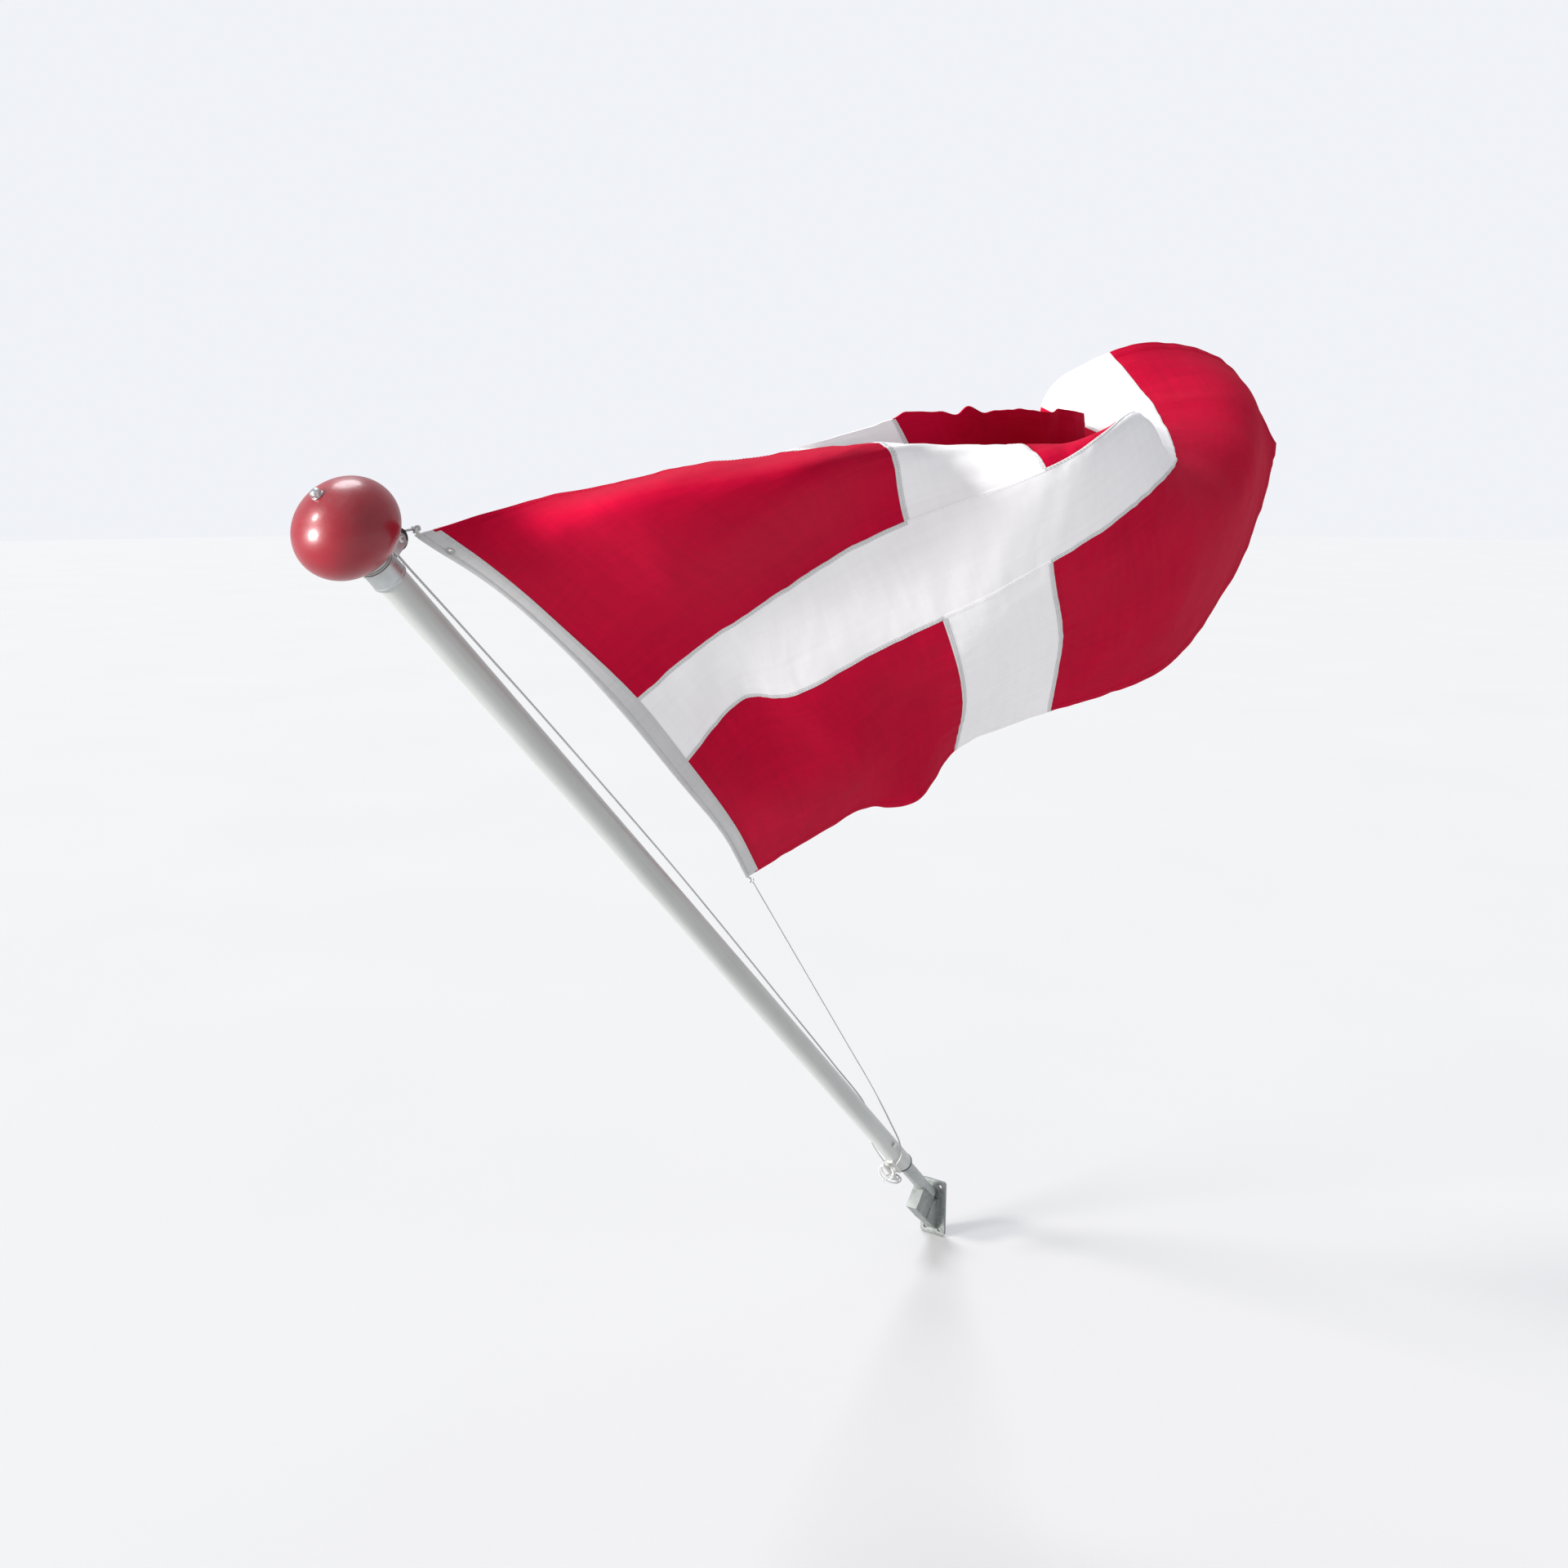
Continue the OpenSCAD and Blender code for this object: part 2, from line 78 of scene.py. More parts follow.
@dataclass(frozen=True)
class PoleFrame:
    """Axes of the slanting pole: x sideways, u to the pole's upper side, z along it from the spigot's foot."""

    foot_out: float = 30.0
    foot_up: float = 50.0
    lean: float = math.radians(45.0)
    pole_len: float = 2455.0
    pole_r: float = 24.0
    pole_wall: float = 3.0
    spigot_r: float = 17.0
    ball_r: float = 77.5
    ball_semi: float = 63.5
    seat_share: float = 0.945
    crown_share: float = 0.992
    cap_t: float = 8.0
    sheave_drop: float = 7.0
    sheave_gap: float = 26.0
    fit_gap: float = 0.2

    @property
    def ball_seat(self) -> float:
        """Depth of the ball's flat seat below its middle."""
        return self.ball_semi * self.seat_share

    @property
    def crown_cut(self) -> float:
        """Height of the ball's flat crown above its middle."""
        return self.ball_semi * self.crown_share

    @property
    def tube_end(self) -> float:
        """Place of the tube's upper end along the pole."""
        return self.pole_len - self.ball_seat - self.cap_t

    @property
    def sheave_z(self) -> float:
        """Place of the sheave's pin along the pole."""
        return self.tube_end - self.sheave_drop

    @property
    def sheave_out(self) -> float:
        """Distance of the sheave's pin from the pole's middle."""
        return self.pole_r + self.sheave_gap

    def to_row(self, points: np.ndarray) -> np.ndarray:
        """Turns pole-frame millimetres into row-frame metres.

        Args:
            points: Array whose last axis is x, u, z.

        Returns:
            Array of the same shape whose last axis is x, y, z.
        """
        p = np.asarray(points, float)
        c, s = math.cos(self.lean), math.sin(self.lean)
        y = -self.foot_out + p[..., 1] * c - p[..., 2] * s
        z = self.foot_up + p[..., 1] * s + p[..., 2] * c
        return np.stack([p[..., 0], y, z], axis=-1) * MM

    def matrix(self, at: Sequence[float], axis: Sequence[float] = UPRIGHT) -> Matrix:
        """Gives the transform of a small part.

        Args:
            at: Place in the pole frame, in millimetres.
            axis: Direction in the pole frame that the part's own +Z takes.

        Returns:
            A matrix from the part's own millimetres to row-frame metres.
        """
        origin, tip = (Vector(self.to_row(np.add(at, way))) for way in ((0, 0, 0), axis))
        turn = (tip - origin).to_track_quat("Z", "Y").to_matrix().to_4x4()
        return Matrix.Translation(origin) @ turn @ Matrix.Scale(MM, 4)


POLE = PoleFrame()


# ---------------------------------------------------------------- mesh helpers


def linked(name: str, data: bpy.types.ID | None) -> bpy.types.Object:
    """Puts data in the scene as an object at the origin.

    Args:
        name: The object's name.
        data: Its mesh, curve, light or camera.

    Returns:
        The linked object.
    """
    obj = bpy.data.objects.new(name, data)
    bpy.context.scene.collection.objects.link(obj)
    return obj


def new_object(name: str, verts: Iterable, faces: Iterable) -> bpy.types.Object:
    """Makes a mesh object at the origin.

    Args:
        name: The piece's name.
        verts: Points in row-frame metres.
        faces: Index lists.

    Returns:
        The linked object.
    """
    mesh = bpy.data.meshes.new(name)
    mesh.from_pydata([tuple(v) for v in verts], [], [tuple(int(i) for i in f) for f in faces])
    mesh.validate()
    return linked(name, mesh)


@contextmanager
def editing(obj: bpy.types.Object) -> Iterator[bmesh.types.BMesh]:
    """Lends the piece's mesh for changes, then turns every face outwards and writes it back.

    Args:
        obj: The piece.

    Yields:
        The mesh, open for changes.
    """
    bm = bmesh.new()
    bm.from_mesh(obj.data)
    yield bm
    bmesh.ops.recalc_face_normals(bm, faces=bm.faces)
    bm.to_mesh(obj.data)
    bm.free()


def outward(obj: bpy.types.Object, merge: bool = True) -> bpy.types.Object:
    """Turns every face outwards, and merges doubles first if asked.

    Args:
        obj: The piece.
        merge: Whether points that coincide are merged first.

    Returns:
        The same piece.
    """
    with editing(obj) as bm:
        if merge:
            bmesh.ops.remove_doubles(bm, verts=bm.verts, dist=TINY)
    return obj


class Crease(Enum):
    """Smallest angle, in degrees, that stays sharp on each kind of piece."""

    HEXAGON = 25
    CASTING = 38
    TURNED = 40
    CLOTH = 60


def sharpen(obj: bpy.types.Object, crease: Crease) -> bpy.types.Object:
    """Shades the mesh smooth but keeps its creases.

    Args:
        obj: The piece.
        crease: The kind of piece.

    Returns:
        The same piece.
    """
    obj.data.polygons.foreach_set("use_smooth", [True] * len(obj.data.polygons))
    obj.data.set_sharp_from_angle(angle=math.radians(crease.value))
    return obj


def lathe(name: str, profile: Outline, place: Matrix, segments: int = 96) -> bpy.types.Object:
    """Turns a closed or axis-to-axis profile round +Z.

    Args:
        name: The piece's name.
        profile: Radius and height pairs in millimetres.
        place: Transform from the part's millimetres to the row frame.
        segments: Steps round the axis.

    Returns:
        A closed object with outward faces.
    """
    turns = [2 * math.pi * k / segments for k in range(segments)]
    verts: list[Vector] = []
    rings: list[list[int]] = []
    for radius, height in profile:
        on_axis = radius < TINY
        rings.append([len(verts)] * segments if on_axis else list(range(len(verts), len(verts) + segments)))
        for t in turns[:1] if on_axis else turns:
            verts.append(place @ Vector((radius * math.cos(t), radius * math.sin(t), height)))
    spans = list(zip(rings, rings[1:]))
    if profile[0][0] > TINY and profile[-1][0] > TINY:
        spans.append((rings[-1], rings[0]))
    faces = []
    for low, high in spans:
        for k in range(segments):
            n = (k + 1) % segments
            faces.append(list(dict.fromkeys((low[k], low[n], high[n], high[k]))))
    return sharpen(outward(new_object(name, verts, [f for f in faces if len(f) > 2])), Crease.TURNED)


def rounded(points: Outline, radius: float, steps: int = 3) -> list[tuple[float, float]]:
    """Rounds the corners of a closed outline.

    Args:
        points: Corners of the outline.
        radius: Largest corner radius.
        steps: Segments in each corner.

    Returns:
        The outline with a short curve at each corner.
    """
    out = []
    for i in range(len(points)):
        p, q, r = (np.array(points[(i + k - 1) % len(points)], float) for k in range(3))
        before, after = np.linalg.norm(p - q), np.linalg.norm(r - q)
        cut = min(radius, 0.45 * before, 0.45 * after)
        start, end = q + (p - q) / before * cut, q + (r - q) / after * cut
        for t in np.linspace(0, 1, steps + 1):
            out.append(tuple((1 - t) ** 2 * start + 2 * t * (1 - t) * q + t**2 * end))
    return out


def refined(node: str, name: str, bevel: float, segments: int = 2) -> bpy.types.Object:
    """Copies a CAD node, merges its triangles and rounds its sharp edges.

    Args:
        node: The CAD node.
        name: The new piece's name.
        bevel: Width of the rounding, in millimetres.
        segments: Steps in the rounding.

    Returns:
        The rounded copy.
    """
    obj = linked(name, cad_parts[node].data.copy())
    with editing(obj) as bm:
        bmesh.ops.remove_doubles(bm, verts=bm.verts, dist=2 * TINY)
        flat = math.radians(1.0)
        bmesh.ops.dissolve_limit(bm, angle_limit=flat, verts=bm.verts, edges=bm.edges, delimit={"NORMAL"})
        sharp = math.radians(35)
        edges = [e for e in bm.edges if len(e.link_faces) == 2 and e.calc_face_angle() > sharp]
        bmesh.ops.bevel(
            bm, geom=edges, offset=bevel * MM, segments=segments, profile=0.6, affect="EDGES", clamp_overlap=True
        )
        bmesh.ops.triangulate(bm, faces=[f for f in bm.faces if len(f.verts) > 4])
    return sharpen(obj, Crease.CASTING)


def poly_curve(name: str, routes: Sequence[np.ndarray], cyclic: bool = False) -> bpy.types.Object:
    """Makes a curve object with one straight-sided spline for each route of row-frame points.

    Args:
        name: The curve's name.
        routes: Row-frame points of each spline.
        cyclic: Whether each spline closes on itself.

    Returns:
        The curve object.
    """
    data = bpy.data.curves.new(name, "CURVE")
    data.dimensions = "3D"
    for route in routes:
        spline = data.splines.new("POLY")
        spline.points.add(len(route) - 1)
        spline.points.foreach_set("co", np.c_[route, np.ones(len(route))].ravel())
        spline.use_cyclic_u = cyclic
    return linked(name, data)


def smooth_route(points: Sequence[Sequence[float]], step: float) -> np.ndarray:
    """Runs a smooth line through the points.

    Args:
        points: Guide points.
        step: Spacing of the result, in the points' unit.

    Returns:
        Evenly spaced points on a centripetal Catmull-Rom line.
    """
    p = np.asarray(points, float)
    p = np.vstack([2 * p[0] - p[1], p, 2 * p[-1] - p[-2]])
    out = []
    for i in range(1, len(p) - 2):
        gaps = np.linalg.norm(np.diff(p[i - 1 : i + 3], axis=0), axis=1)
        knots = np.r_[0, np.cumsum(np.maximum(gaps, 1e-9) ** 0.5)]
        for t in np.linspace(knots[1], knots[2], max(2, int(gaps[1] / step * 4)), endpoint=False):
            row = list(p[i - 1 : i + 3])
            for reach in (1, 2):
                row = [
                    between(row[k], row[k + 1], (t - knots[k]) / (knots[k + reach] - knots[k]))
                    for k in range(len(row) - 1)
                ]
            out.append(between(row[0], row[1], (t - knots[1]) / (knots[2] - knots[1])))
    line = np.array([*out, p[-2]])
    run = np.r_[0, np.cumsum(np.linalg.norm(np.diff(line, axis=0), axis=1))]
    at = np.linspace(0, run[-1], max(2, int(run[-1] / step) + 1))
    return np.stack([np.interp(at, run, line[:, k]) for k in range(3)], axis=1)


def between(start: np.ndarray, end: np.ndarray, share: float) -> np.ndarray:
    """Point at a share of the way from start to end."""
    return (1 - share) * start + share * end


# ---------------------------------------------------------------- geometry node trees


class NodeTree:
    """Small builder for geometry and shader node trees."""

    def __init__(self, tree: bpy.types.NodeTree) -> None:
        """Wraps a node tree."""
        self.tree = tree

    @classmethod
    def group(cls, name: str, kind: str, inputs: dict, outputs: dict) -> tuple["NodeTree", Sockets]:
        """Starts a node group.

        Args:
            name: The group's name.
            kind: GeometryNodeTree or ShaderNodeTree.
            inputs: Socket kind and default value, or the kind alone, by input name.
            outputs: Socket kind by output name.

        Returns:
            The builder and the sockets that bring the inputs.
        """
        t = cls(bpy.data.node_groups.new(name, kind))
        for way, sockets in (("INPUT", inputs), ("OUTPUT", outputs)):
            for label, about in sockets.items():
                kind_name, *default = (about,) if isinstance(about, str) else about
                made = t.tree.interface.new_socket(
                    name=label, in_out=way, socket_type="NodeSocket" + kind_name
                )
                for value in default:
                    made.default_value = value
        return t, t.add("NodeGroupInput").outputs

    def add(self, kind: str, inputs: dict | None = None, **props: object) -> bpy.types.Node:
        """Adds a node.

        Args:
            kind: The node's type.
            inputs: Values or output sockets by input name or index.
            props: Properties set on the node before its inputs.

        Returns:
            The new node.
        """
        node = self.tree.nodes.new(kind)
        for key, value in props.items():
            setattr(node, key, value)
        for key, value in (inputs or {}).items():
            self.feed(node.inputs[key], value)
        return node

    def out(self, kind: str, inputs: dict | None = None, **props: object) -> bpy.types.NodeSocket:
        """Adds a node and returns its first result."""
        return self.add(kind, inputs, **props).outputs[0]

    def feed(self, target: bpy.types.NodeSocket, value: object) -> None:
        """Links an output socket to the target, or sets its constant.

        Args:
            target: The input socket.
            value: An output socket or a constant.
        """
        if isinstance(value, bpy.types.NodeSocket):
            self.tree.links.new(value, target)
        else:
            target.default_value = value

    def math(self, operation: str, *values: object) -> bpy.types.NodeSocket:
        """Adds a Math node and returns its result."""
        return self.out("ShaderNodeMath", dict(enumerate(values)), operation=operation)

    def mixed(self, first: object, share: float, second: object, rest: float) -> bpy.types.NodeSocket:
        """Adds two values, each with its own share."""
        return self.math("MULTIPLY_ADD", first, share, self.math("MULTIPLY", second, rest))

    def noise(self, vector: object, scale: object, detail: float, roughness: float = 0.5) -> bpy.types.NodeSocket:
        """Adds a noise and returns its value."""
        inputs = {"Vector": vector, "Scale": scale, "Detail": detail, "Roughness": roughness}
        return self.add("ShaderNodeTexNoise", inputs).outputs["Fac"]

    def stretch(self, value: object, low: float, high: float) -> bpy.types.NodeSocket:
        """Spreads the range from low to high over 0 to 1."""
        return self.out("ShaderNodeMapRange", {"Value": value, "From Min": low, "From Max": high})

    def span(self, value: object, low: float, high: float) -> bpy.types.NodeSocket:
        """Maps a 0 to 1 value to the range from low to high."""
        return self.out("ShaderNodeMapRange", {"Value": value, "To Min": low, "To Max": high})

    def done(self, mesh: object, given: Sockets, smooth: bool = False) -> bpy.types.NodeTree:
        """Realizes the instances, sets the finish and ends a geometry tree.

        Args:
            mesh: The tree's result so far.
            given: The sockets that bring the inputs.
            smooth: Whether the faces are shaded smooth.

        Returns:
            The finished tree.
        """
        mesh = self.out("GeometryNodeRealizeInstances", {0: mesh})
        if smooth:
            mesh = self.out("GeometryNodeSetShadeSmooth", {0: mesh})
        self.add(
            "NodeGroupOutput",
            {0: self.out("GeometryNodeSetMaterial", {"Geometry": mesh, "Material": given["Finish"]})},
        )
        return self.tree


def growing_tree(name: str, step: str, inputs: dict) -> tuple[NodeTree, Sockets, bpy.types.NodeSocket]:
    """Starts a geometry tree that works on an evenly divided curve.

    Args:
        name: The tree's name.
        step: Name of the input with the spacing.
        inputs: The tree's own inputs.

    Returns:
        The builder, the sockets that bring the inputs, and the divided curve.
    """
    inputs = {"Geometry": "Geometry", **inputs, "Finish": "Material"}
    t, given = NodeTree.group(name, "GeometryNodeTree", inputs, {"Geometry": "Geometry"})
    curve = {"Curve": given["Geometry"], "Length": given[step]}
    return t, given, t.out("GeometryNodeResampleCurve", curve, mode="LENGTH")


def rope_tree() -> bpy.types.NodeTree:
    """Builds the tree that lays three strands along a curve.

    Returns:
        The tree.
    """
    sizes = {"Radius": ("Float", 0.002), "Lay Length": ("Float", 0.015), "Step": ("Float", 0.002)}
    t, given, line = growing_tree("laid_rope", "Step", sizes)
    run = t.add("GeometryNodeSplineParameter").outputs["Length"]
    turn = t.math("DIVIDE", t.math("MULTIPLY", run, 2 * math.pi), given["Lay Length"])
    twist = t.out("GeometryNodeSetCurveTilt", {"Curve": line, "Tilt": turn})
    ring = t.out("GeometryNodeCurvePrimitiveCircle", {"Resolution": 18, "Radius": given["Radius"]})
    here = t.out("GeometryNodeInputPosition")
    split = t.add("ShaderNodeSeparateXYZ", {0: here}).outputs
    lobes = t.math("ABSOLUTE", t.math("COSINE", t.math("MULTIPLY", t.math("ARCTAN2", split[1], split[0]), 1.5)))
    swell = t.math("ADD", t.math("MULTIPLY", lobes, 0.27), 0.76)
    scaled = t.out("ShaderNodeVectorMath", {0: here, "Scale": swell}, operation="SCALE")
    strands = t.out("GeometryNodeSetPosition", {"Geometry": ring, "Position": scaled})
    tube = {"Curve": twist, "Profile Curve": strands, "Fill Caps": True}
    return t.done(t.out("GeometryNodeCurveToMesh", tube), given)


@dataclass(frozen=True)
class Scatter:
    """Geometry tree that sets one small form after another along curves."""

    name: str
    inputs: dict
    form: tuple[str, dict]
    axis: str
    spread: tuple[float, float]
    size: tuple[tuple[str, float], ...]

    def build(self) -> bpy.types.NodeTree:
        """Builds the tree.

        Returns:
            The tree.
        """
        t, given, line = growing_tree(self.name, "Pitch", self.inputs)
        tangent = t.out("GeometryNodeInputTangent")
        turn = t.out("FunctionNodeAlignRotationToVector", {"Vector": tangent}, axis=self.axis)
        low, high = self.spread
        vary = t.add("FunctionNodeRandomValue", {2: low, 3: high, "Seed": given["Seed"]}, data_type="FLOAT")
        size = {k: t.math("MULTIPLY", given[label], share) for k, (label, share) in enumerate(self.size)}
        each = {0: t.out("ShaderNodeCombineXYZ", size), "Scale": vary.outputs[1]}
        row = {"Points": line, "Instance": t.out(*self.form), "Rotation": turn,
               "Scale": t.out("ShaderNodeVectorMath", each, operation="SCALE")}
        return t.done(t.out("GeometryNodeInstanceOnPoints", row), given, smooth=True)


def grown(name: str, curve: bpy.types.Object, tree: bpy.types.NodeTree, values: dict) -> bpy.types.Object:
    """Runs a geometry node tree on a curve and keeps the result as a plain mesh.

    Args:
        name: The piece's name.
        curve: The curve that the tree works on, which is removed.
        tree: The node tree.
        values: Input values by socket name.

    Returns:
        The new mesh object.
    """
    modifier = curve.modifiers.new("grow", "NODES")
    modifier.node_group = tree
    for item in tree.interface.items_tree:
        if getattr(item, "in_out", "") == "INPUT" and item.name in values:
            modifier[item.identifier] = values[item.name]
    graph = bpy.context.evaluated_depsgraph_get()
    graph.update()
    mesh = bpy.data.meshes.new_from_object(curve.evaluated_get(graph), depsgraph=graph)
    mesh.name = name
    curve.modifiers.remove(modifier)
    bpy.data.objects.remove(curve)
    return linked(name, mesh)


ROPE = rope_tree()
STITCHES = Scatter(
    "stitch_rows",
    {"Pitch": ("Float", 0.0055), "Length": ("Float", 0.0038), "Thread": ("Float", 0.0009), "Seed": ("Int", 3)},
    ("GeometryNodeMeshIcoSphere", {"Radius": 0.5, "Subdivisions": 1}),
    "X",
    (0.85, 1.15),
    (("Length", 1.0), ("Thread", 1.0), ("Thread", 1.0)),
).build()
WELDS = Scatter(
    "weld_ripples",
    {"Pitch": ("Float", 0.003), "Bead": ("Float", 0.006), "Seed": ("Int", 5)},
    ("GeometryNodeMeshUVSphere", {"Segments": 12, "Rings": 6, "Radius": 0.5}),
    "Z",
    (0.88, 1.1),
    (("Bead", 1.0), ("Bead", 1.0), ("Bead", 0.8)),
).build()


# ---------------------------------------------------------------- shared shader groups


class SharedEffect(Enum):
    """Shader groups that more than one finish uses."""

    WEAVE = "woven_threads"
    MOTTLE = "mottled_tone"
    DUST = "settled_dust"

    def start(self, inputs: dict, *outputs: str) -> tuple[NodeTree, Sockets]:
        """Starts the group with its numbers in and out.

        Args:
            inputs: Default number by input name.
            outputs: Names of the results.

        Returns:
            The builder and the sockets that bring the inputs.
        """
        numbers = {label: ("Float", value) for label, value in inputs.items()}
        return NodeTree.group(
            self.value, "ShaderNodeTree", {"Vector": "Vector", **numbers}, dict.fromkeys(outputs, "Float")
        )


def weave_group() -> bpy.types.NodeTree:
    """Builds the plain weave: a height and slow streaks along the threads.

    Returns:
        The group.
    """
    t, given = SharedEffect.WEAVE.start({"Thread Pitch": 0.001, "Streak": 0.01}, "Height", "Streaks")
    split = t.add("ShaderNodeSeparateXYZ", {0: given["Vector"]}).outputs
    rate = t.math("DIVIDE", 2 * math.pi, given["Thread Pitch"])
    warp, weft = (t.math("SINE", t.math("MULTIPLY", split[k], rate)) for k in range(2))
    height = t.math("MULTIPLY_ADD", t.math("MULTIPLY", warp, weft), 0.5, 0.5)
    slow = t.math("DIVIDE", 1.0, given["Streak"])
    bands = []
    for stretch in ((1.0, 0.05, 1.0), (0.05, 1.0, 1.0)):
        lane = t.out("ShaderNodeVectorMath", {0: given["Vector"], 1: stretch}, operation="MULTIPLY")
        bands.append(t.noise(lane, slow, 3.0, 0.6))
    t.add("NodeGroupOutput", {0: height, 1: t.math("MULTIPLY", t.math("ADD", *bands), 0.5)})
    return t.tree


def mottle_group() -> bpy.types.NodeTree:
    """Builds slow tone changes and a fine grain.

    Returns:
        The group.
    """
    t, given = SharedEffect.MOTTLE.start({"Scale": 8.0, "Contrast": 1.0}, "Tone", "Grain")
    broad = t.noise(given["Vector"], given["Scale"], 4.0, 0.55)
    fine = t.noise(given["Vector"], t.math("MULTIPLY", given["Scale"], 14.0), 3.0, 0.6)
    tone = t.math("MULTIPLY_ADD", t.math("SUBTRACT", broad, 0.5), given["Contrast"], 0.5)
    t.add("NodeGroupOutput", {0: t.out("ShaderNodeClamp", {0: tone}), 1: fine})
    return t.tree


def dust_group() -> bpy.types.NodeTree:
    """Builds a dust mask that is strongest on faces that look up.

    Returns:
        The group.
    """
    t, given = SharedEffect.DUST.start({"Amount": 0.2}, "Mask")
    facing = t.add("ShaderNodeNewGeometry").outputs["Normal"]
    up = t.stretch(t.add("ShaderNodeSeparateXYZ", {0: facing}).outputs[2], 0.1, 1.0)
    spots = t.stretch(t.noise(given["Vector"], 22.0, 5.0, 0.65), 0.42, 0.7)
    t.add("NodeGroupOutput", {0: t.math("MULTIPLY", t.math("MULTIPLY", up, spots), given["Amount"])})
    return t.tree


EFFECTS = {
    SharedEffect.WEAVE: weave_group(),
    SharedEffect.MOTTLE: mottle_group(),
    SharedEffect.DUST: dust_group(),
}


# ---------------------------------------------------------------- finishes


Colour = tuple[float, float, float]


def rgba(colour: Colour) -> tuple[float, float, float, float]:
    """Adds full alpha to a colour."""
    return (*colour, 1.0)


class Paint(NodeTree):
    """Builder for one material's nodes round its Principled shader."""

    def __init__(self, name: str) -> None:
        """Makes the material.

        Args:
            name: The material's name.
        """
        self.material = bpy.data.materials.new(name)
        self.material.use_nodes = True
        super().__init__(self.material.node_tree)
        self.shader = self.tree.nodes["Principled BSDF"]

    def where(self) -> bpy.types.NodeSocket:
        """Gives Object coordinates."""
        return self.add("ShaderNodeTexCoord").outputs["Object"]

    def along_pole(self, scale: tuple[float, float, float]) -> bpy.types.NodeSocket:
        """Gives Object coordinates turned so that Z runs along the pole, then stretched."""
        turned = self.out("ShaderNodeMapping", {"Vector": self.where(), "Rotation": (-POLE.lean, 0.0, 0.0)})
        return self.out("ShaderNodeMapping", {"Vector": turned, "Scale": scale})

    def effect(self, effect: SharedEffect, vector: object, **inputs: float) -> Sockets:
        """Places a shared effect and returns its results."""
        named = {label.replace("_", " "): value for label, value in inputs.items()}
        return self.add("ShaderNodeGroup", {"Vector": vector, **named}, node_tree=EFFECTS[effect]).outputs

    def mottle(self, scale: float, contrast: float, vector: object = None) -> Sockets:
        """Places the mottled tone and its grain."""
        vector = self.where() if vector is None else vector
        return self.effect(SharedEffect.MOTTLE, vector, Scale=scale, Contrast=contrast)

    def dusted(self, skin: object, amount: float, dust: Colour) -> bpy.types.NodeSocket:
        """Lays dust over a colour."""
        return self.blend(self.effect(SharedEffect.DUST, self.where(), Amount=amount)[0], skin, dust)

    def blend(self, mask: object, low: object, high: object) -> bpy.types.NodeSocket:
        """Mixes two colours by a mask."""
        low, high = (v if isinstance(v, bpy.types.NodeSocket) else rgba(v) for v in (low, high))
        return self.add("ShaderNodeMix", {0: mask, 6: low, 7: high}, data_type="RGBA").outputs[2]

    def bump(self, height: object, depth: float, strength: float) -> bpy.types.NodeSocket:
        """Turns a height into a normal."""
        return self.out("ShaderNodeBump", {"Strength": strength, "Distance": depth, "Height": height})


@dataclass(frozen=True)
class Finish:
    """Parts that every finish shares."""

    name: str
    colour: Colour
    shade: Colour
    roughness: float = 0.5
    metallic: float = 0.0

    def rough(self, paint: Paint, value: object, less: float, more: float) -> bpy.types.NodeSocket:
        """Lets a 0 to 1 value vary the roughness."""
        return paint.span(value, self.roughness - less, self.roughness + more)

    def sockets(self, paint: Paint) -> dict:
        """Gives the shader's inputs by name."""
        raise NotImplementedError

    def build(self) -> bpy.types.Material:
        """Builds the material.

        Returns:
            The material.
        """
        paint = Paint(self.name)
        paint.material.diffuse_color = rgba(self.colour)
        for label, value in {"Metallic": self.metallic, **self.sockets(paint)}.items():
            paint.feed(paint.shader.inputs[label], value)
        return paint.material


@dataclass(frozen=True)
class Bunting(Finish):
    """Woven flag cloth, read from the piece's own UV map in metres."""

    pitch: float = 0.0011
    streak: float = 0.012
    depth: float = 0.0007
    sheen: float = 0.15

    def sockets(self, paint: Paint) -> dict:
        """Weaves the cloth.

        Args:
            paint: The material's builder.

        Returns:
            The shader's inputs by name.
        """
        uv = paint.out("ShaderNodeUVMap", uv_map="cut")
        weave = paint.effect(SharedEffect.WEAVE, uv, Thread_Pitch=self.pitch, Streak=self.streak)
        tone = paint.mottle(7.0, 1.6, uv)
        mask = paint.mixed(paint.stretch(weave["Streaks"], 0.35, 0.65), 0.5, tone["Tone"], 0.5)
        height = paint.mixed(weave["Streaks"], 0.6, weave["Height"], 0.4)
        return {
            "Base Color": paint.blend(mask, self.shade, self.colour),
            "Roughness": self.rough(paint, tone["Grain"], 0.06, 0.06),
            "Specular IOR Level": 0.06,
            "Sheen Weight": self.sheen,
            "Sheen Roughness": 0.4,
            "Sheen Tint": rgba(self.colour),
            "Normal": paint.bump(height, self.depth, 0.6),
        }


